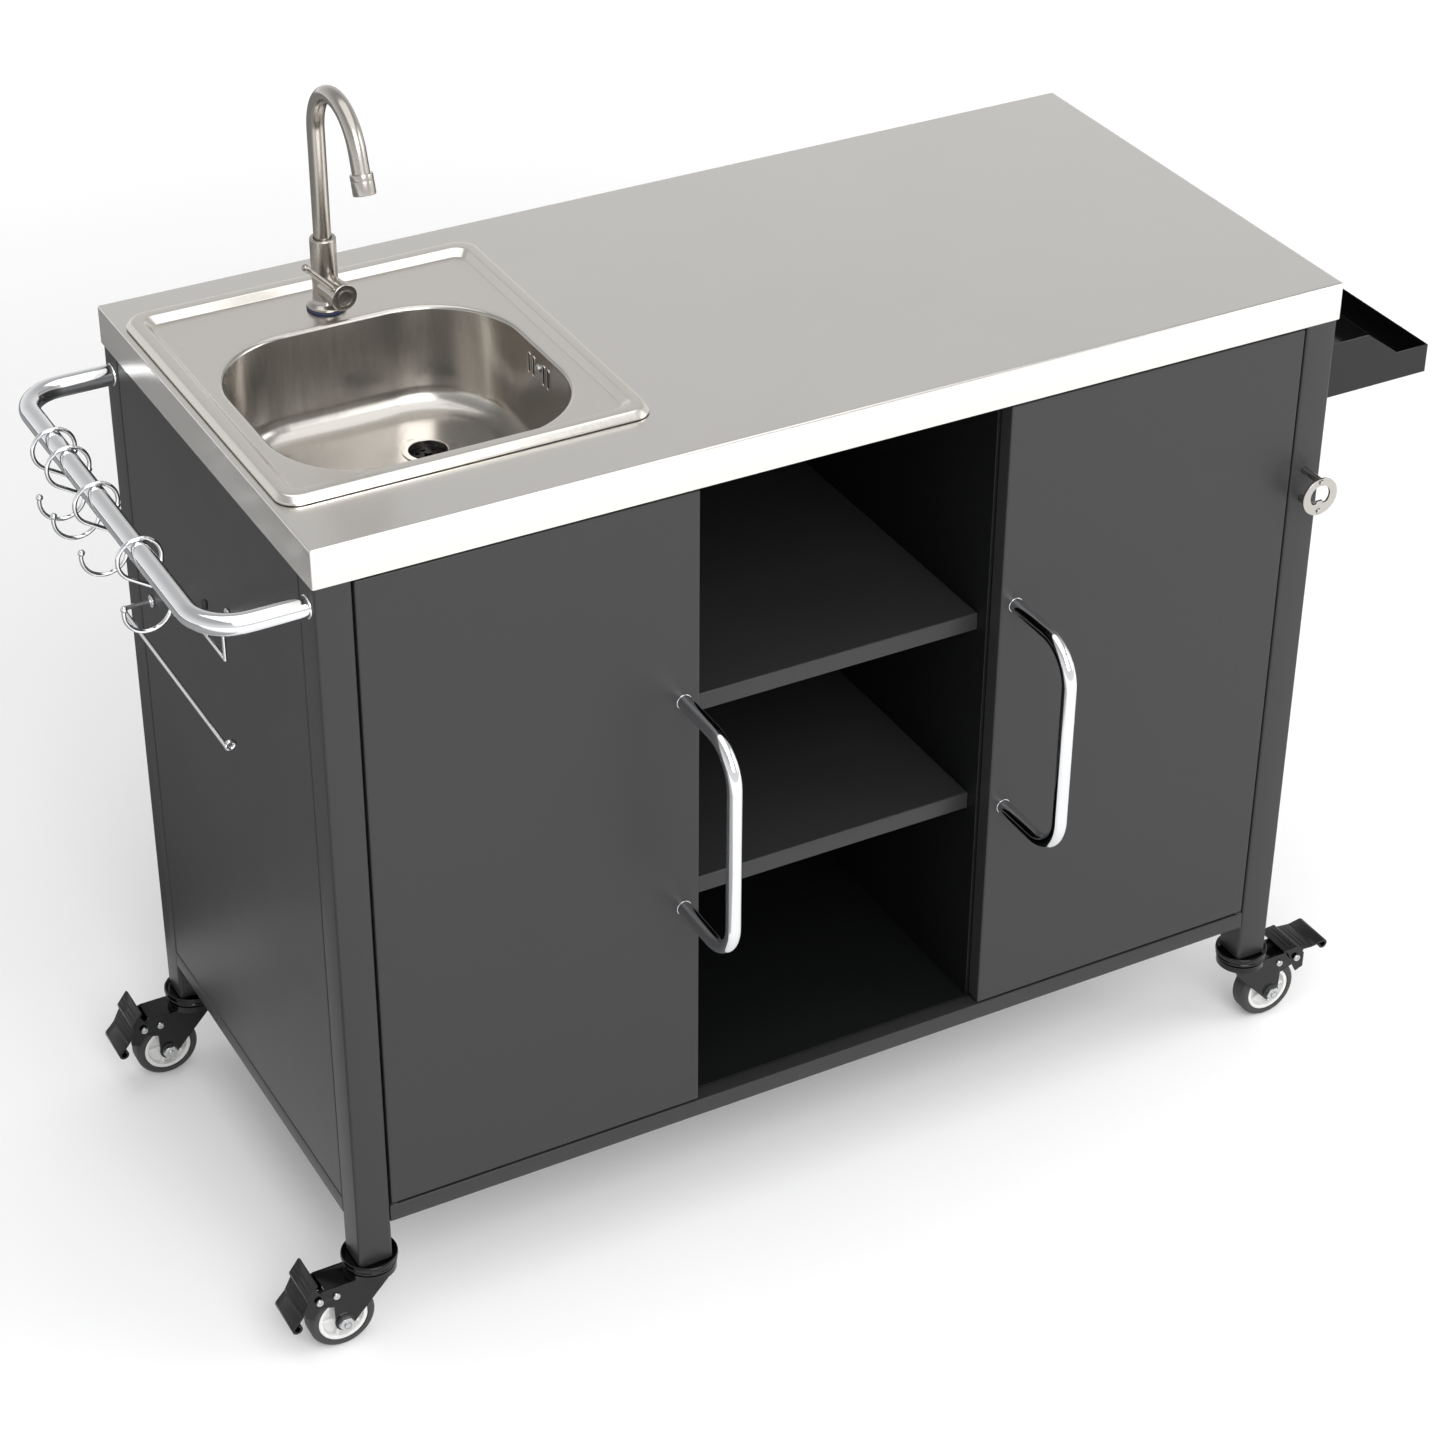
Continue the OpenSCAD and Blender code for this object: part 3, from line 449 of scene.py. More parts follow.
def make_finishes():
    """Makes every finish once, from the colours of the scene."""
    c = colours()
    FINISH.update(
        worktop=brushed_steel("stainless sheet, brushed along X", c.worktop, (4, 700, 700), 0.24, 0.006, 0.02),
        sink=brushed_steel("stainless pressing, satin", c.sink, (260, 260, 30), 0.25, 0.002, 0.02),
        # bowl: the sink's own steel darkened to 0.66, as painted shade inside the bowl
        bowl=brushed_steel("stainless pressing, bowl darkened as painted shade", shade(c.sink, 0.66)[:3],
                           (200, 200, 24), 0.22, 0.002, 0.02),
        rim=brushed_steel("stainless pressing, polished rim", c.sink, (120, 120, 120), 0.18, 0.002, 0.02),
        tap=brushed_steel("stainless tube, brushed round", c.tap, (40, 40, 800), 0.22, 0.003, 0.03),
        chrome=polished_chrome("chrome plated tube", c.chrome),
        cabinet=powder_coat("charcoal powder coat, satin", c.cabinet, 0.4, ior=1.42),
        # inside: the cabinet coat made darker, as painted shade inside the bays
        inside=powder_coat("charcoal powder coat, inner sheets", c.inside, 0.45, ior=1.38),
        black=powder_coat("black stove enamel, gloss", c.gloss_black, 0.13, 0.008, 0.15, ior=1.42),
        tread=moulded("polyurethane tread", c.tread, 0.62, 700.0, 0.05, 0.12, 0.25),
        wheel=moulded("glossy moulded wheel centre", c.wheel, 0.3, 900.0, 0.015),
        fittings=moulded("moulded polypropylene", c.fittings, 0.42),
        gasket=moulded("soft blue rubber", c.gasket, 0.55),
        seal=moulded("grey sealing strip", linear("#26282d"), 0.7),
        magnet=moulded("black nylon housing", linear("#202021"), 0.5),
        # shaded: near-black steel for the strainer, painted shade of the deep drain hole
        shaded=plated_steel("strainer steel darkened as painted shade of the drain", linear("#1c1b1a"), 0.45),
        # dark: near-black painted shade for the unlit inside of the overflow slots and the aerator holes
        dark=moulded("unlit inside of slots", linear("#0a0a0b"), 0.8),
        zinc=plated_steel("bright zinc plate", linear("#c9cbcc"), 0.28),
        brass=plated_steel("turned brass", linear("#b08d4f"), 0.36),
    )


def dress(node, finish):
    """Gives a frame node that stays in view its finish."""
    mesh = frame["nodes"][node].data
    mesh.materials.clear()
    mesh.materials.append(FINISH[finish])


# ---------- the pieces, one operator for each group ----------
class CART_OT_worktop(bpy.types.Operator):
    """Adds the worktop: a stainless sheet with folded edges and a cut-out for the sink"""
    bl_idname = "cart.worktop"
    bl_label = "Worktop"

    def execute(self, context):
        lo, hi, mid = box("countertop")
        s_lo, s_hi, s_mid = box("sink_basin")
        w, d = (hi - lo)[:2]
        top, bottom, t, e = hi[2], lo[2], 1.5, sizes().worktop_edge / MM
        hole_w, hole_d = (s_hi - s_lo)[:2] - 24
        turn = np.linspace(0, np.pi / 2, 7)
        rows = [(w - 2 * t, d - 2 * t, 1, *mid[:2], bottom), (w - 0.6, d - 0.6, e, *mid[:2], bottom),
                (w, d, e, *mid[:2], bottom + 0.4)]
        rows += [(w - 2 * e * (1 - np.cos(a)), d - 2 * e * (1 - np.cos(a)), max(e * np.cos(a), 0.1), *mid[:2],
                  top - e * (1 - np.sin(a))) for a in turn]
        rows += [(w - 2 * e - 3, d - 2 * e - 3, 0.1, *mid[:2], top),
                 (hole_w + 2, hole_d + 2, 16, *s_mid[:2], top), (hole_w, hole_d, 15, *s_mid[:2], top),
                 (hole_w, hole_d, 15, *s_mid[:2], top - t), (w - 2 * t - 4, d - 2 * t - 4, 0.1, *mid[:2], top - t),
                 (w - 2 * t, d - 2 * t, 1, *mid[:2], top - t - 2)]
        add_piece("worktop_sheet", Shape().skin(stack(rows, 6), loop=True), "cart",
                  "worktop", ["countertop"])
        dress("top_battens", "cabinet")
        dress("sink_seal", "seal")
        return {"FINISHED"}


class CART_OT_sink(bpy.types.Operator):
    """Adds the pressed sink, its overflow, drain and waste trap"""
    bl_idname = "cart.sink"
    bl_label = "Sink and waste"

    def execute(self, context):
        lo, hi, mid = box("sink_basin")
        w, d = (hi - lo)[:2]
        cx, cy = mid[:2]
        # bowl: middle in x and y, width, depth, corner radius
        bx, by, bw, bd, br = -381.0, -24.5, 310.0, 293.0, 95.0
        (dx, dy), floor = box("drain_flange")[2][:2], lo[2] + 1.3
        rim, top = hi[2] - 4.5, hi[2] + 3.6
        deck = rim + 1.3
        # rim: up the outside, over a rounded bead, across and down a step to the deck
        bead = bent([(0, rim), (0, rim + 2), (4.6, top), (15.4, top), (22.2, deck), (30, deck)],
                    [0, 1.8, 3.4, 2.2, 2.0, 0], 6)[:-1]
        rows = [(w - 2 * i, d - 2 * i * 1.11, 22 - 0.45 * i, cx, cy, z) for i, z in bead]
        rows.append((w - 50.6, d - 56.2, 11.2, cx, cy, deck))
        bead_rows = len(rows) + 3
        # bowl: a soft lip, walls that draw in slightly, a fillet and a floor that falls to the drain
        wall = bent([(-8, deck), (0, deck), (1.6, floor + 0.6), (60, floor + 0.2)], [0, 4.5, 25, 0], 12)
        for k, (i, z) in enumerate(wall[:-1]):
            rows.append((bw - 2 * i, bd - 2 * i, br - min(i, 60) * 0.9 + (4 if i < 0 else 0), bx, by, z))
        rows.append((118, 112, 50, (bx + dx) / 2, (by + dy) / 2, floor + 0.2))
        rows += [(57, 57, 28.4, dx, dy, floor - 0.1), (45, 45, 22.4, dx, dy, floor - 0.4)]
        under = len(rows)
        # underside, one sheet lower, back to the rim
        rows += [(45, 45, 22.4, dx, dy, floor - 1.5), (118, 112, 50, (bx + dx) / 2, (by + dy) / 2, floor - 1.2)]
        for i, z in reversed(wall[12:-1]):
            rows.append((bw - 2 * i + 2.4, bd - 2 * i + 2.4, br + 1 - min(i, 60) * 0.9, bx, by,
                         z - (1.2 if i > 8 else 0)))
        rows += [(bw + 2.4, bd + 2.4, br + 1, bx, by, rim), (w - 30, d - 30, 12, cx, cy, rim)]
        # the bands inside the bowl take the bowl finish: the sink steel darkened as painted shade
        painted_shade_bands = [2 if bead_rows < k < under else 0 for k in range(len(rows))]
        shape = Shape().skin(stack(rows, 14), painted_shade_bands, loop=True)
        # overflow: four slots with pressed rims, and the screw that holds the housing
        x = bx + bw / 2 - 0.5
        for y in (-21.5, -11.5, 11.5, 21.5):
            # each slot is a near-black slab set into the wall: painted shade of the unlit hole
            slot = placed(slab(4.2, 22, 2.05, 1.2, 0.3), (x - 0.1, by + y, deck - 24.3),
                          (0, 1, 0), (0, 0, 1), (1, 0, 0))
            shape.skin(slot, 1)
            rim_line = np.column_stack([np.full(40, x - 0.1), outline(5.0, 22.8, 2.45, 10) + (by + y, deck - 24.3)])
            loop = np.vstack([rim_line, rim_line[:1]])
            shape.skin(tube(loop, 0.55, (1, 0, 0), 8), 0, caps=False)
        add_piece("sink_pressing", shape, "cart", "sink dark bowl",
                  ["sink_basin"])

        o_lo, o_hi, o_mid = box("overflow_housing")
        cover = Shape()
        body = slab(o_hi[2] - o_lo[2], o_hi[1] - o_lo[1], 6, o_hi[0] - bx - bw / 2 - 1.8, 1.5)
        cover.skin(placed(body, (bx + bw / 2 + 1.8, o_mid[1], o_mid[2]), (0, 0, 1), (0, 1, 0), (1, 0, 0)))
        head = [(0, -0.4), (3.6, -0.2), (4.5, 0.9), (4.5, 2.6), (0, 2.6)]
        screw = lathe(bent(head, [0, 0.8, 0.8, 0, 0], 5), (o_lo[0] - 0.1, by, deck - 21.3), (1, 0, 0), 32)
        cover.skin(screw, 1)
        add_piece("overflow_cover", cover, "cart", "fittings zinc",
                  ["overflow_housing"])

        f_lo, f_hi, _ = box("drain_flange")
        flange = bent([(15, f_lo[2]), (21.5, f_lo[2]), (21.5, floor + 0.1), (27, floor + 0.1), (26.6, f_hi[2]),
                       (20.2, f_hi[2]), (19.5, floor - 8), (15, floor - 8)], [0, 0, 0, 0.2, 0.5, 0.8, 0, 0], 5)
        # the drain ring takes the bowl finish: the sink steel darkened as painted shade
        add_piece("drain_ring", Shape().skin(lathe(flange, (dx, dy, 0), sides=64), loop=True), "cart",
                  "bowl", ["drain_flange"])
        # the strainer plate is near-black: painted shade of the drain hole below it
        softened("strainer_basket", "strainer_plate", "shaded", 0.25)
        softened("sink_clips", "sink_clip_strips", "zinc", 0.3)
        softened("drain_nut", "drain_backnut", "fittings", 1.2)

        t_lo, t_hi, _ = box("bottle_trap")
        z0, h = t_lo[2], t_hi[2] - t_lo[2]
        trap = Shape()
        cup = [(0, 0), (33, 0), (35, 3), (35, 22), (32, 23.5), (32, 108), (16, 108), (16, h - 25), (25, h - 25),
               (25, h), (16, h), (0, h)]
        trap.skin(lathe(bent(cup, [0, 2, 2, 1, 1, 3, 2, 2, 2, 2, 0, 0], 5), (dx, dy, z0)), caps=False)
        pipe = [(0, 0), (16, 0), (16, 45), (22, 45), (22, 65), (16, 65), (16, t_hi[1] - dy), (13.5, t_hi[1] - dy),
                (13.5, t_hi[1] - dy - 40), (0, t_hi[1] - dy - 40)]
        pipe = bent(pipe, [0, 0, 1, 1.5, 1.5, 1, 0.8, 0.5, 0, 0], 5)
        trap.skin(lathe(pipe, (dx, dy, z0 + 78), (0, 1, 0)), caps=False)
        ribs = [(21.9, 47), (23.2, 47), (23.2, 63), (21.9, 63)]
        trap.skin(lathe(bent(ribs, [0, 0.5, 0.5, 0], 4), (dx, dy, z0 + 78), (0, 1, 0), 16), loop=True)
        add_piece("waste_trap", trap, "cart", "fittings", ["bottle_trap"])
        return {"FINISHED"}


class CART_OT_tap(bpy.types.Operator):
    """Adds the tap: base with its gasket, side valve with a pin lever, gooseneck spout and aerator"""
    bl_idname = "cart.tap"
    bl_label = "Tap"

    def execute(self, context):
        g_lo, g_hi, g_mid = box("faucet_gasket")
        x, y = g_mid[:2]
        edge = (g_hi - g_lo)[0] / 2
        ring = bent([(10.6, g_lo[2]), (edge, g_lo[2]), (edge, g_hi[2]), (10.6, g_hi[2])], [0, 1.1, 1.1, 0], 6)
        add_piece("tap_gasket", Shape().skin(lathe(ring, (x, y, 0), sides=64), loop=True), "cart",
                  "gasket", ["faucet_gasket"])

        b_lo, b_hi, _ = box("faucet_body")
        base, turned = g_hi[2] + 0.15, math.radians(VALVE_TURN)
        post = [(0, b_lo[2]), (10.3, b_lo[2]), (10.3, base), (19.8, base), (19.8, base + 2.6), (15, base + 5.4),
                (13.5, base + 9), (13.5, b_hi[2]), (9.6, b_hi[2]), (9.4, b_hi[2] - 12), (0, b_hi[2] - 12)]
        post = bent(post, [0, 0.8, 0, 0.6, 1.6, 2, 2.5, 1.6, 0.5, 0, 0], 7)
        body = Shape().skin(lathe(post, (x, y, 0), sides=72), caps=False)
        out = np.array([math.sin(turned), -math.cos(turned), 0])
        boss = bent([(0, 6), (13.2, 6), (13.2, 26), (0, 26)], [0, 0, 1.1, 0], 6)
        body.skin(lathe(boss, (x, y, VALVE_Z), out, 56), caps=False)
        add_piece("tap_body", body, "cart", "tap", ["faucet_body"])
        softened("faucet_nut", "tap_locknut", "brass", 0.8)

        knob = bent([(0, 17.9), (5, 17.9), (5, 26.3), (14.6, 26.3), (14.6, 38.3), (9, 38.3), (8.8, 37.2), (8, 37.2),
                     (7.8, 38.3), (0, 38.3)], [0, 0.5, 0, 0.7, 1.2, 0.3, 0.1, 0.1, 0.3, 0], 6)
        lever = Shape().skin(lathe(knob, (x, y, VALVE_Z), out, 64), caps=False)
        side = np.array([math.cos(turned), math.sin(turned), 0])
        lean = math.radians(LEVER_LEAN)
        along = math.cos(lean) * side + np.array([0, 0, math.sin(lean)])
        start = np.array([x, y, VALVE_Z]) + 32 * out
        pin = bent([(0, 9), (3.2, 9), (3.0, 52), (3.7, 54), (3.9, 58.5), (2.8, 61.4), (0, 61.8)],
                   [0, 0, 0.6, 0.6, 1.2, 1.2, 0], 6)
        lever.skin(lathe(pin, start, along, 24), caps=False)
        add_piece("tap_lever", lever, "tap_valve", "tap", ["valve_handle"])

        s_hi = box("spout")[1]
        radius, bend, turn, drop = sizes().spout_radius / MM, 54.0, math.radians(162), 8.0
        bend_z = s_hi[2] - bend - radius
        a = np.linspace(0, turn, 40)
        arc = np.stack([np.full(40, x), y - bend + bend * np.cos(a), bend_z + bend * np.sin(a)], 1)
        heading = np.array([0, -math.sin(turn), math.cos(turn)])
        rise = np.stack([np.full(9, x), np.full(9, y), np.linspace(b_hi[2] - 18, bend_z, 9)], 1)[:-1]
        path = np.concatenate([rise, arc, [arc[-1] + heading * (drop + a) for a in (2, 19.5)]])
        neck = Shape().skin(tube(path, radius, (1, 0, 0), 40))
        add_piece("spout_tube", neck, "spout_arm", "tap", ["spout"])
        cap = bent([(9.0, 12), (11.5, 12), (11.5, 18), (11.1, 18.4), (11.5, 18.8), (11.5, 33), (9.6, 33), (9.4, 29),
                    (0, 29)], [0, 0.8, 0.2, 0.2, 0.2, 1.0, 0.4, 0.4, 0], 5)
        mouth = Shape().skin(lathe(cap, arc[-1] + heading * drop, heading, 56), caps=False)
        # six near-black discs on the aerator face: painted shade of its holes
        for k in range(6):
            spot = arc[-1] + heading * (drop + 29) + 5.2 * (math.cos(k * math.pi / 3) * np.array([1, 0, 0])
                                                   + math.sin(k * math.pi / 3) * np.cross(heading, (1, 0, 0)))
            mouth.skin(lathe([(0, -0.2), (1.5, -0.2), (1.5, 0.3), (0, 0.3)], spot, heading, 16), 1, caps=False)
        add_piece("spout_aerator", mouth, "spout_arm", "tap dark", ["aerator"])
        return {"FINISHED"}


def beam(shape, lo, hi, axis, edge):
    """A square tube from corner to corner along one axis, its long edges rounded and its ends closed."""
    lo, hi = np.array(lo, float), np.array(hi, float)
    others = [k for k in range(3) if k != axis]
    size, mid = hi - lo, (lo + hi) / 2
    axes = np.eye(3)
    rows = [(edge * 0.3, 0.0), (0, edge * 0.3), (0, size[axis] - edge * 0.3), (edge * 0.3, size[axis])]
    rings = stack([(size[others[0]] - 2 * i, size[others[1]] - 2 * i, edge, 0, 0, z) for i, z in rows], 6)
    origin = mid.copy()
    origin[axis] = lo[axis]
    shape.skin(placed(rings, origin, axes[others[0]], axes[others[1]], axes[axis]))


class CART_OT_cabinet(bpy.types.Operator):
    """Adds the legs, rails, panels, dividers and shelves of the cabinet"""
    bl_idname = "cart.cabinet"
    bl_label = "Cabinet"

    def execute(self, context):
        edge = sizes().panel_edge / MM
        leg = sizes().leg_edge / MM
        r_lo, r_hi, _ = box("cross_rails")
        levels = ((r_lo[2], r_lo[2] + RAIL_H), (UPPER_RAIL, r_hi[2]))
        for side, name in ((-1, "left"), (1, "right")):
            lo, hi, _ = box("side_frame_" + name)
            shape = Shape()
            outer = hi[0] if side > 0 else lo[0]
            for y in (lo[1], hi[1] - LEG):
                beam(shape, (lo[0], y, lo[2]), (hi[0], y + LEG, hi[2]), 2, leg)
            for z0, z1 in levels:
                x0, x1 = sorted((outer, outer - side * RAIL_D))
                beam(shape, (x0, lo[1] + LEG - 1, z0), (x1, hi[1] - LEG + 1, z1), 1, 1.8)
            add_piece("side_frame_tubes_" + name, shape, "cart", "cabinet", ["side_frame_" + name])
            p_lo, p_hi, p_mid = box("side_panel_" + name)
            sheet = folded_sheet(p_hi[1] - p_lo[1], p_hi[2] - p_lo[2], 1.5, 15, edge)
            face = p_hi[0] if side > 0 else p_lo[0]
            rings = placed(sheet, (face, p_mid[1], p_mid[2]), (0, side, 0), (0, 0, 1), (side, 0, 0))
            add_piece("side_sheet_" + name, Shape().skin(rings), "cart", "cabinet",
                      ["side_panel_" + name])
        rails = Shape()
        for y0, y1 in ((r_lo[1], r_lo[1] + RAIL_D), (r_hi[1] - RAIL_D, r_hi[1])):
            for z0, z1 in levels:
                beam(rails, (r_lo[0], y0, z0), (r_hi[0], y1, z1), 0, 1.8)
        add_piece("long_rails", rails, "cart", "cabinet", ["cross_rails"])
        for name in ("shelf_upper", "shelf_lower"):
            lo, hi, mid = box(name)
            sheet = folded_sheet(hi[0] - lo[0], hi[1] - lo[1], 1.0, hi[2] - lo[2], edge, lip=12.0)
            add_piece(name + "_sheet", Shape().skin(placed(sheet, (mid[0], mid[1], hi[2]), *np.eye(3))), "cart",
                      "cabinet", [name])
        # these inner sheets take the darker inside coat: painted shade of the bays
        for name in ("back_panel", "floor_panel", "divider_left", "divider_right"):
            softened(name, name + "_sheet", "inside")
        softened("door_magnets", "door_catches", "magnet", 1.5)
        softened("frame_screws", "screw_heads", "zinc", 0.7, 3)
        dress("hinge_pins", "cabinet")
        return {"FINISHED"}


class CART_OT_doors(bpy.types.Operator):
    """Adds the two doors and their bent tube handles"""
    bl_idname = "cart.doors"
    bl_label = "Doors and handles"

    def execute(self, context):
        radius, edge = sizes().grip_radius / MM, sizes().panel_edge / MM
        for name in ("left", "right"):
            lo, hi, mid = box("door_" + name)
            sheet = folded_sheet(hi[0] - lo[0], hi[2] - lo[2], 2.0, hi[1] - lo[1], edge)
            rings = placed(sheet, (mid[0], lo[1], mid[2]), (1, 0, 0), (0, 0, 1), (0, -1, 0))
            add_piece("door_sheet_" + name, Shape().skin(rings), name + "_door",
                      "cabinet", ["door_" + name])
            h_lo, h_hi, h_mid = box("handle_" + name)
            x, face, front = h_mid[0], lo[1] - 0.1, h_lo[1] + radius
            z0, z1 = h_lo[2] + radius, h_hi[2] - radius
            path = bent([(x, face, z1), (x, front, z1), (x, front, z0), (x, face, z0)], [0, 45, 45, 0], 18)
            grip = Shape().skin(tube(path, radius, (1, 0, 0), 36))
            for z in (z0, z1):
                foot = bent([(radius - 0.5, 0), (radius + 0.5, 0), (radius + 0.4, 0.7), (radius - 0.5, 1.1)],
                            [0, 0, 0.3, 0], 5)
                grip.skin(lathe(foot, (x, face, z), (0, -1, 0), 40), loop=True)
            add_piece("door_handle_" + name, grip, name + "_door", "chrome", ["handle_" + name])
        return {"FINISHED"}


class CART_OT_rail(bpy.types.Operator):
    """Adds the towel rail, the four hanging hooks and the two wire holders on the left side"""
    bl_idname = "cart.rail"
    bl_label = "Towel rail and hooks"

    def execute(self, context):
        lo, hi, mid = box("towel_bar")
        r = sizes().rail_radius / MM
        x, wall, half, z = lo[0] + r, hi[0], hi[1] - 15, mid[2]
        path = bent([(wall, half, z), (x, half, z), (x, -half, z), (wall, -half, z)], [0, 45, 45, 0], 20)
        rail = Shape().skin(tube(path, r, (0, 0, 1), 40))
        for y in (-half, half):
            rose = bent([(r - 1, 0), (r + 1.2, 0), (r + 1, 1.2), (r - 0.4, 1.6)], [0, 0, 0.6, 0], 6)
            rail.skin(lathe(rose, (wall, y, z), (-1, 0, 0), 56), loop=True)
        add_piece("towel_rail", rail, "cart", "chrome", ["towel_bar"])

        wire = sizes().wire_radius / MM
        up, down, sag, drop = 22.0, 24.0, r + 0.1 + wire - 22.0, -65.3
        low = np.array([3.0, drop])
        reach = low - (0, sag)
        lean = math.atan2(reach[1], reach[0]) - math.acos((up + down) / np.linalg.norm(reach))
        a = np.linspace(math.radians(-20), lean + 2 * math.pi, 34)
        b = np.linspace(lean + 3 * math.pi, math.radians(165), 34)
        flat = np.concatenate([np.stack([up * np.cos(a), sag + up * np.sin(a)], 1),
                               low + down * np.stack([np.cos(b), np.sin(b)], 1)])
        for k in range(1, 5):
            y = box(f"s_hook_{k}")[2][1]
            path = np.stack([x + flat[:, 0], np.full(len(flat), y), z + flat[:, 1]], 1)
            hook = Shape().skin(tube(path, wire, (0, 1, 0), 16))
            hook.skin(ball(path[0], 3.4), caps=False).skin(ball(path[-1], 3.6), caps=False)
            add_piece(f"rail_hook_{k}", hook, f"hook_{k}", "chrome", [f"s_hook_{k}"])

        p_lo, p_hi, _ = box("paper_rod")
        px, pz = p_lo[0] + 2.5, p_hi[2] - 8.5
        back, front = p_hi[1] - 7, p_lo[1] + 2.5
        path = bent([(p_hi[0], back, pz), (px, back, pz), (px, front, pz)], [0, 4, 0], 8)
        rod = Shape().skin(tube(path, 2.5, (0, 0, 1), 20))
        turns = np.linspace(math.pi, math.pi + math.radians(318), 40)
        curl = np.stack([px + 4.4 + 4.4 * np.cos(turns), np.linspace(front + 0.4, front - 0.4, 40),
                         pz + 4.4 * np.sin(turns)], 1)
        rod.skin(tube(curl, 2.3, (0, 1, 0), 16)).skin(ball((px, front, pz), 2.5), caps=False)
        plate = bent([(0, 0), (7, 0), (7, 2), (0, 2)], [0, 0, 0.7, 0], 5)
        rod.skin(lathe(plate, (p_hi[0] - 0.5, back, pz), (-1, 0, 0), 32), caps=False)
        add_piece("paper_towel_rod", rod, "cart", "chrome", ["paper_rod"])

        q_lo, q_hi, _ = box("prong_hook")
        qx, qz, qy, end = q_lo[0] + 3.2, q_lo[2] + 7, q_hi[1] - 7, q_lo[1] + 3.2
        path = bent([(q_hi[0], qy, qz), (qx, qy, qz), (qx, end, qz), (qx, end, qz + 34)], [0, 4, 0, 0], 6)[:-1]
        prongs = Shape().skin(tube(path, 2.2, (0, 0, 1), 16))
        prongs.skin(ball((qx, end, qz), 2.2), caps=False)
        tip = bent([(0, 32), (3.2, 32), (3.2, 42), (0, 42)], [0, 0.6, 2.2, 0], 6)
        for y in (end, end + 47):
            prongs.skin(tube([(qx, y, qz - 0.5), (qx, y, qz + 17), (qx, y, qz + 34)], 2.0, (0, 1, 0), 16))
            prongs.skin(lathe(tip, (qx, y, qz), sides=24), 1, caps=False)
        prongs.skin(lathe(plate, (q_hi[0] - 0.5, qy, qz), (-1, 0, 0), 32), caps=False)
        add_piece("two_prong_hook", prongs, "cart", "chrome magnet", ["prong_hook"])
        return {"FINISHED"}


class CART_OT_tray(bpy.types.Operator):
    """Adds the side tray and the bottle opener"""
    bl_idname = "cart.tray"
    bl_label = "Tray and opener"

    def execute(self, context):
        softened("side_tray", "bottle_tray", "black", 0.6, 3)
        # the opener ring takes the bowl finish: the sink steel darkened as painted shade
        softened("bottle_opener", "opener_ring", "bowl", 0.6, 3)
        return {"FINISHED"}


def ribbon(line, half_thickness):
    """A closed outline around a flat line: the line moved to either side along its normals, then back."""
    t = unit(np.gradient(line, axis=0))
    n = np.stack([-t[:, 1], t[:, 0]], 1) * half_thickness
    return np.concatenate([line + n, (line - n)[::-1]])


def extruded(shape_outline, lo, hi, edge=0.4):
    """A flat outline in x and z carried along y, with its last edge millimetres drawn in to soften the ends."""
    middle = shape_outline.mean(0)
    rows = []
    for y, shrink in ((lo, edge), (lo + edge, 0), (hi - edge, 0), (hi, edge)):
        pulled = shape_outline + unit(middle - shape_outline) * shrink
        rows.append(np.stack([pulled[:, 0], np.full(len(pulled), y), pulled[:, 1]], 1))
    return np.stack(rows)


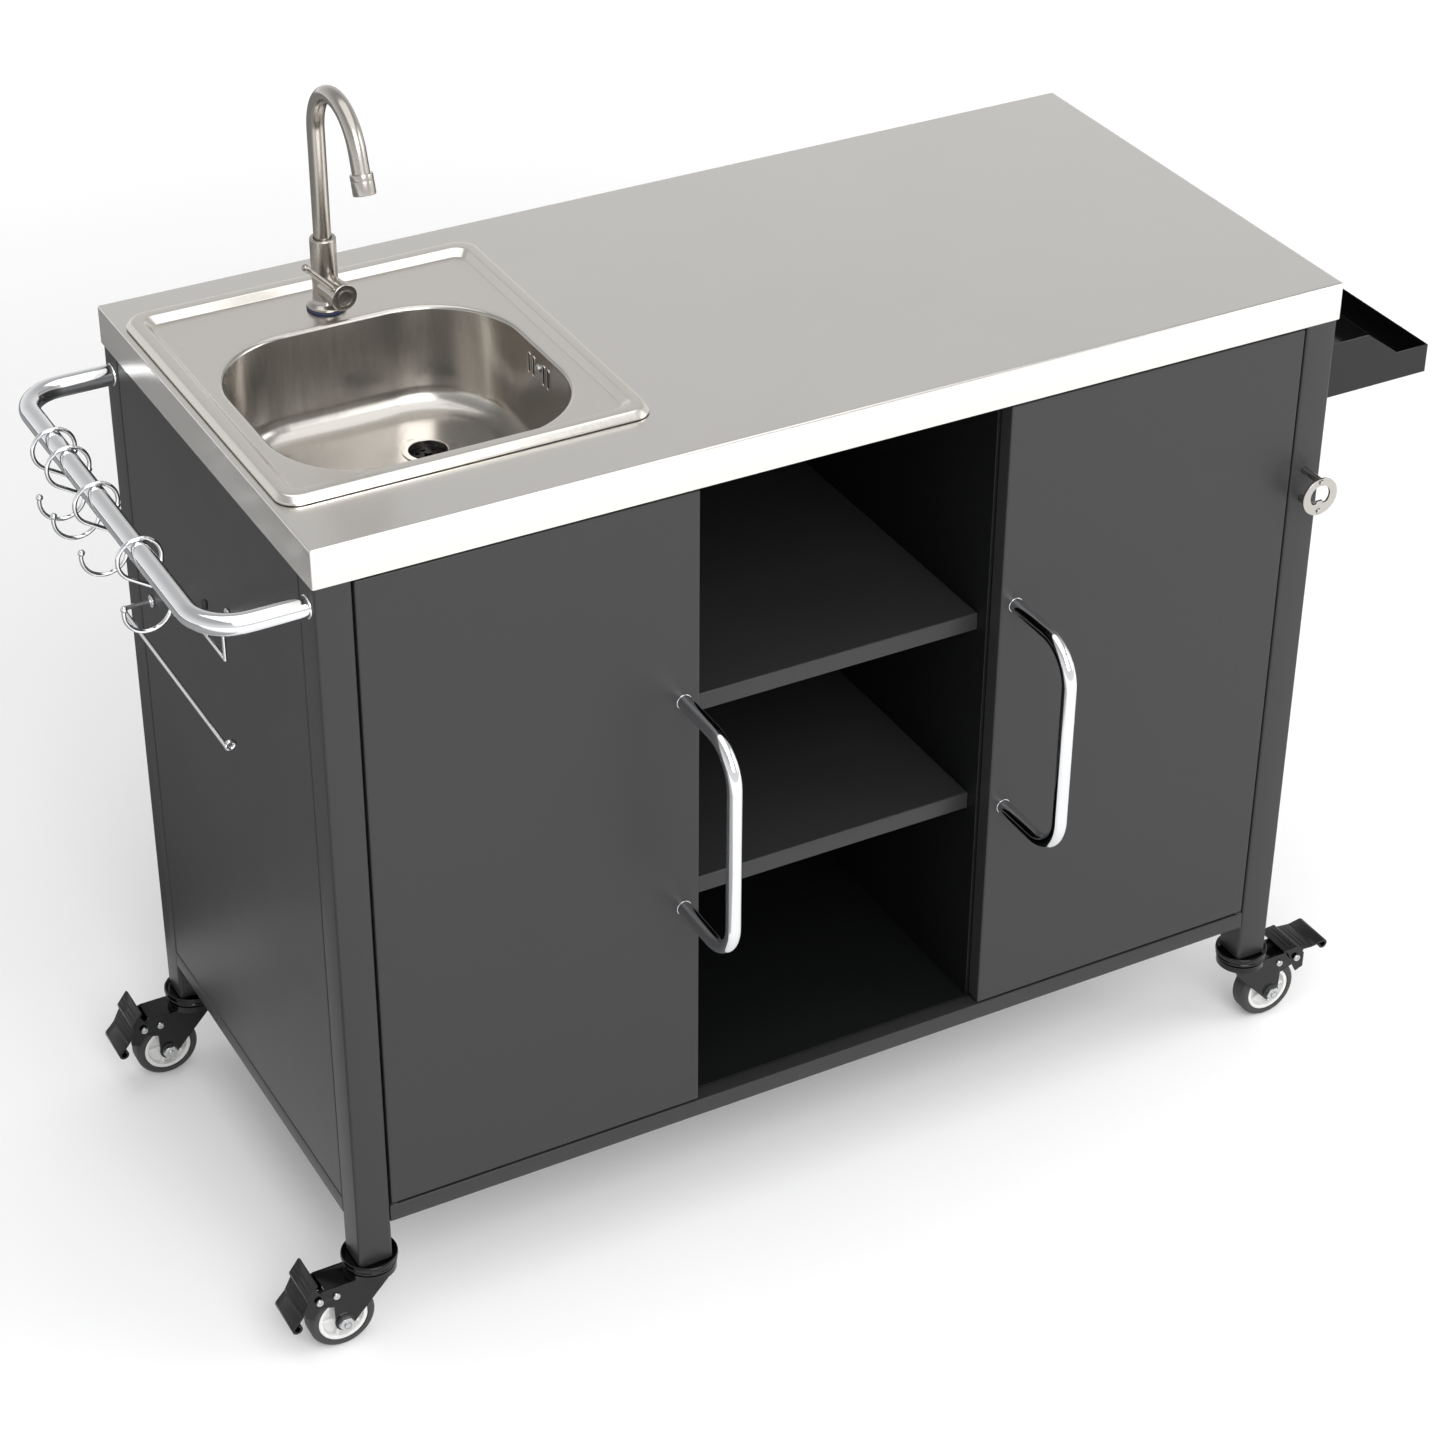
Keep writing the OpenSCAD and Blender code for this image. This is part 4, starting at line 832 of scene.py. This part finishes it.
class CART_OT_casters(bpy.types.Operator):
    """Adds the four casters: bearing rings, forks, wheels and brake levers"""
    bl_idname = "cart.casters"
    bl_label = "Casters"

    def execute(self, context):
        stems = Shape()
        s_hi = box("caster_stems")[1]
        lx, ly = s_hi[0] - 30, s_hi[1] - 30
        race = bent([(6, 96.6), (26.5, 96.6), (30.6, 98.6), (28.2, 101.6), (30.6, 103.8), (30, 108.4), (27.3, 108.4),
                     (27, 104.3), (6, 104.3)], [0, 1.5, 1.7, 0.9, 1.7, 1.3, 1.2, 1.2, 0], 7)
        nut = bent([(0, 77), (10, 77), (10, 83), (0, 83)], [0, 0.8, 0.8, 0], 4)
        for corner in CORNERS:
            sx, sy = (1 if corner[1] == "r" else -1), (1 if corner[0] == "b" else -1)
            x, y = sx * lx, sy * ly
            stems.skin(lathe(race, (x, y, 0), sides=72), loop=True)
            stems.skin(lathe([(0, 80), (6, 80), (6, 98), (0, 98)], (x, y, 0), sides=32), caps=False)
            stems.skin(lathe(nut, (x, y, 0), sides=6), 1, caps=False)
            stems.skin(stack([(34, 34, 2, x, y, 104), (34, 34, 2, x, y, 146)], 4))
            self.wheel(corner, sx, np.array([x, y, 0.0]))
        add_piece("bearing_rings", stems, "cart", "black zinc", ["caster_stems"])
        return {"FINISHED"}

    def wheel(self, corner, sx, leg):
        """Fork, wheel and brake lever of one caster. Its own x runs from the leg towards the wheel."""
        softened("fork_" + corner, "fork_plates_" + corner, "black", 0.5)
        u, v, n = np.array([sx, 0, 0]), np.array([0, 1, 0]), np.array([0, 0, 1])
        at = lambda a, b, c: leg + a * u + b * v + c * n
        fixings = Shape()
        dome = bent([(0, 0), (4.3, 0), (3.6, 1.7), (1.8, 1.9), (1.5, 1.0), (0, 1.0)], [0, 0, 0.7, 0.3, 0, 0], 5)
        washer = bent([(0, 0), (10.2, 0), (10.2, 0.9), (0, 0.9)], [0, 0, 0.3, 0], 4)
        head = bent([(0, 0.8), (8.9, 0.8), (8.9, 5.8), (7.4, 6.6), (0, 6.6)], [0, 0, 0.4, 0.4, 0], 4)
        thread = [(0, 6), (4.1, 6), (4.1, 7.2), (3.4, 7.7), (0, 7.7)]
        on_axle = (TRAIL, 16.5, AXLE_Z)
        fixed = ((washer, on_axle, 40, 1), (head, on_axle, 6, 0), (thread, on_axle, 24, 0),
                 (dome, (PIVOT_X, 22.6, PIVOT_Z), 28, 0), (dome, (46, 17.3, 77), 28, 0))
        for s in (-1, 1):
            for profile, (a, b, c), sides, kind in fixed:
                fixings.skin(lathe(profile, at(a, s * b, c), s * v, sides), kind, caps=False)
        add_piece("caster_fixings_" + corner, fixings, "caster_" + corner, "zinc magnet")

        axle = at(TRAIL, 0, AXLE_Z)
        tread = bent([(28.3, -12), (33.5, -12), (37, -8.5), (37, 8.5), (33.5, 12), (28.3, 12)],
                     [0.4, 2.2, 4.2, 4.2, 2.2, 0.4], 7, True)
        add_piece("tread_" + corner, Shape().skin(lathe(tread, axle, v, 96), loop=True), "wheel_" + corner,
                  "tread", ["tyre_" + corner])
        centre = bent([(4.1, -12.5), (9, -12.5), (9, -4), (22.6, -4), (23.4, -11), (28, -11), (28, 11), (23.4, 11),
                       (22.6, 4), (9, 4), (9, 12.5), (4.1, 12.5)],
                      [0.3, 1, 1.5, 1.5, 1, 0.8, 0.8, 1, 1.5, 1.5, 1, 0.3], 5, True)
        hub = Shape().skin(lathe(centre, axle, v, 80), loop=True)
        for k in range(5):
            a = math.radians(72 * k)
            out = math.cos(a) * u + math.sin(a) * n
            spoke = placed(slab(4.4, 16, 1.2, 15.2, 0.6), axle + 8.4 * out, np.cross(v, out), v, out)
            hub.skin(spoke)
        add_piece("wheel_centre_" + corner, hub, "wheel_" + corner, "wheel", ["hub_" + corner])

        swing = math.radians(PRESSED if corner[1] == "l" else 0)
        tilt_u = math.cos(swing) * u - math.sin(swing) * n
        tilt_n = math.sin(swing) * u + math.cos(swing) * n
        curl = np.linspace(math.pi / 2, math.radians(-195), 26)
        step = bent([(-21, 16.2), (-2, 17.4), (2, 13), (20, 11.2), (36, 13.6)], [0, 3, 3, 16, 0], 9)
        line = np.concatenate([step, np.stack([36 + 4.6 * np.cos(curl), 9 + 4.6 * np.sin(curl)], 1)])
        lever = Shape()
        set_in = lambda rings: placed(rings, at(PIVOT_X, 0, PIVOT_Z), tilt_u, v, tilt_n)
        lever.skin(set_in(extruded(ribbon(line, 1.25), -24, 24)))
        for a, c in ((-13, 17.2), (-7, 17.6), (7, 12.9), (12, 12.4)):
            rib = bent([(a - 1.5, c), (a + 1.5, c), (a + 0.7, c + 1.2), (a - 0.7, c + 1.2)],
                       [0, 0, 0.5, 0.5], 4, True)
            lever.skin(set_in(extruded(rib, -20.5, 20.5, 0.8)))
        cheek = bent([(-14, 13), (14, 13), (6.5, -2.2), (0, -6.4), (-6.5, -2.2)], [0, 0, 4, 5, 4], 7, True)
        for s in (-1, 1):
            lo, hi = sorted((s * 18, s * 20))
            lever.skin(set_in(extruded(cheek, lo, hi, 0.3)))
        add_piece("brake_pedal_" + corner, lever, "brake_" + corner, "black", ["pedal_" + corner])


class CART_OT_stage(bpy.types.Operator):
    """Adds the pale floor, the studio lights and the camera"""
    bl_idname = "cart.stage"
    bl_label = "Stage"

    def execute(self, context):
        scene = context.scene
        half = 30000
        rings = np.array([[(-half, -half, z), (half, -half, z), (half, half, z), (-half, half, z)]
                          for z in (-20, 0)], float)
        mesh = Shape().skin(rings).mesh("studio_floor")
        floor = bpy.data.objects.new("studio_floor", mesh)
        scene.collection.objects.link(floor)
        material, tree, where = start_material("matt studio floor")
        mottle = add(tree, "TexNoise", {"Scale": 3.0, "Detail": 3.0}, {"Vector": where})
        base = tuple(colours().floor)
        end_material(tree, ramp(tree, mottle.outputs[0], shade(base, 0.985), shade(base, 1.0)), 0.0, 0.9,
                     **{"Emission Color": (1, 1, 1, 1)})
        # a light-table glow, faint under the object and stronger where the lamps no longer reach
        reach = add(tree, "VectorMath", {"operation": "LENGTH"}, {0: where})
        glow = add(tree, "MapRange", {"From Min": 1.5, "From Max": 5.5, "To Min": 0.08, "To Max": 0.8,
                                      "interpolation_type": "SMOOTHSTEP"}, {"Value": reach.outputs["Value"]})
        shader = next(node for node in tree.nodes if node.bl_idname == "ShaderNodeBsdfPrincipled")
        tree.links.new(glow.outputs[0], shader.inputs["Emission Strength"])
        mesh.materials.append(material)

        # grey and black flags lie on the floor beside and behind the object: only gloss and bright metal see them,
        # so they are painted darker reflections in place of the white floor
        flags = Shape()
        for kind, (x0, x1, y0, y1) in enumerate(((-7000, -760, -900, 7000), (-760, 7000, 480, 7000))):
            flags.skin([[(x0, y0, z), (x1, y0, z), (x1, y1, z), (x0, y1, z)] for z in (1, 2)], kind)
        mesh = flags.mesh("dark_flags")
        flag = bpy.data.objects.new("dark_flags", mesh)
        scene.collection.objects.link(flag)
        for name, tone in (("grey flag cloth", linear("#a6a6a6")), ("black flag cloth", linear("#4c4c4c"))):
            material, tree, where = start_material(name)
            weave = add(tree, "TexNoise", {"Scale": 60.0, "Detail": 2.0}, {"Vector": where})
            end_material(tree, ramp(tree, weave.outputs[0], shade(tone, 0.9), shade(tone, 1.1)), 0.0, 0.95)
            mesh.materials.append(material)
        flag.visible_camera = flag.visible_diffuse = flag.visible_shadow = flag.visible_transmission = False

        world = bpy.data.worlds.new("soft studio")
        scene.world = world
        world.use_nodes = True
        tree = world.node_tree
        tree.nodes.clear()
        up = add(tree, "SeparateXYZ", links={0: add(tree, "TexCoord").outputs["Generated"]})
        level = add(tree, "MapRange", {"From Min": 0.1, "From Max": 0.8, "To Min": 0.92, "To Max": 0.5,
                                      "interpolation_type": "SMOOTHSTEP"}, {"Value": up.outputs[2]})
        sky = add(tree, "Background", {"Color": (1, 1, 1, 1)}, {"Strength": level.outputs[0]})
        add(tree, "OutputWorld", links={"Surface": sky.outputs[0]})

        for name, place, aim, size, power in (
            ("key softbox", (-0.4, -4.0, 3.6), (0, -0.4, 0.2), 3.0, 150.0),
            ("fill softbox", (4.0, -2.2, 2.6), (0, 0, 0.2), 2.6, 50.0),
            ("top softbox", (0.0, -0.4, 4.6), (0, 0, 0), 4.4, 78.0),
        ):
            light = bpy.data.lights.new(name, "AREA")
            light.size, light.energy = size, power
            lamp = bpy.data.objects.new(name, light)
            lamp.location = place
            lamp.rotation_euler = (Vector(aim) - Vector(place)).to_track_quat("-Z", "Y").to_euler()
            scene.collection.objects.link(lamp)

        camera = bpy.data.objects.new("camera", bpy.data.cameras.new("camera"))
        camera.data.sensor_width, camera.data.lens = 36.0, 86.9
        camera.data.clip_end = 60.0
        camera.location = (-1.5552, -2.8311, 2.6028)
        camera.rotation_euler = tuple(math.radians(a) for a in (56.292, -0.373, -28.531))
        scene.collection.objects.link(camera)
        scene.camera = camera
        scene.view_settings.view_transform = "Standard"
        return {"FINISHED"}


class CART_PT_pieces(bpy.types.Panel):
    """Lists the pieces, sizes and colours of the wash station"""
    bl_idname = "CART_PT_pieces"
    bl_label = "Wash Station"
    bl_space_type = "VIEW_3D"
    bl_region_type = "UI"
    bl_category = "Wash Station"

    def draw(self, context):
        for group in (context.scene.cart_sizes, context.scene.cart_colours):
            column = self.layout.column()
            for name in group.bl_rna.properties.keys():
                if name not in ("rna_type", "name"):
                    column.prop(group, name)
        for operator in OPERATORS:
            self.layout.operator(operator.bl_idname)


OPERATORS = (CART_OT_worktop, CART_OT_sink, CART_OT_tap, CART_OT_cabinet, CART_OT_doors, CART_OT_rail,
             CART_OT_tray, CART_OT_casters, CART_OT_stage)
CLASSES = (CartColours, CartSizes) + OPERATORS + (CART_PT_pieces,)


def register():
    for cls in CLASSES:
        bpy.utils.register_class(cls)
    bpy.types.Scene.cart_colours = PointerProperty(type=CartColours)
    bpy.types.Scene.cart_sizes = PointerProperty(type=CartSizes)


def unregister():
    del bpy.types.Scene.cart_sizes
    del bpy.types.Scene.cart_colours
    for cls in reversed(CLASSES):
        bpy.utils.unregister_class(cls)


def main():
    """Registers the classes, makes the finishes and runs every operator."""
    register()
    make_finishes()
    for operator in OPERATORS:
        group, name = operator.bl_idname.split(".")
        getattr(getattr(bpy.ops, group), name)()


if __name__ == "__main__":
    main()
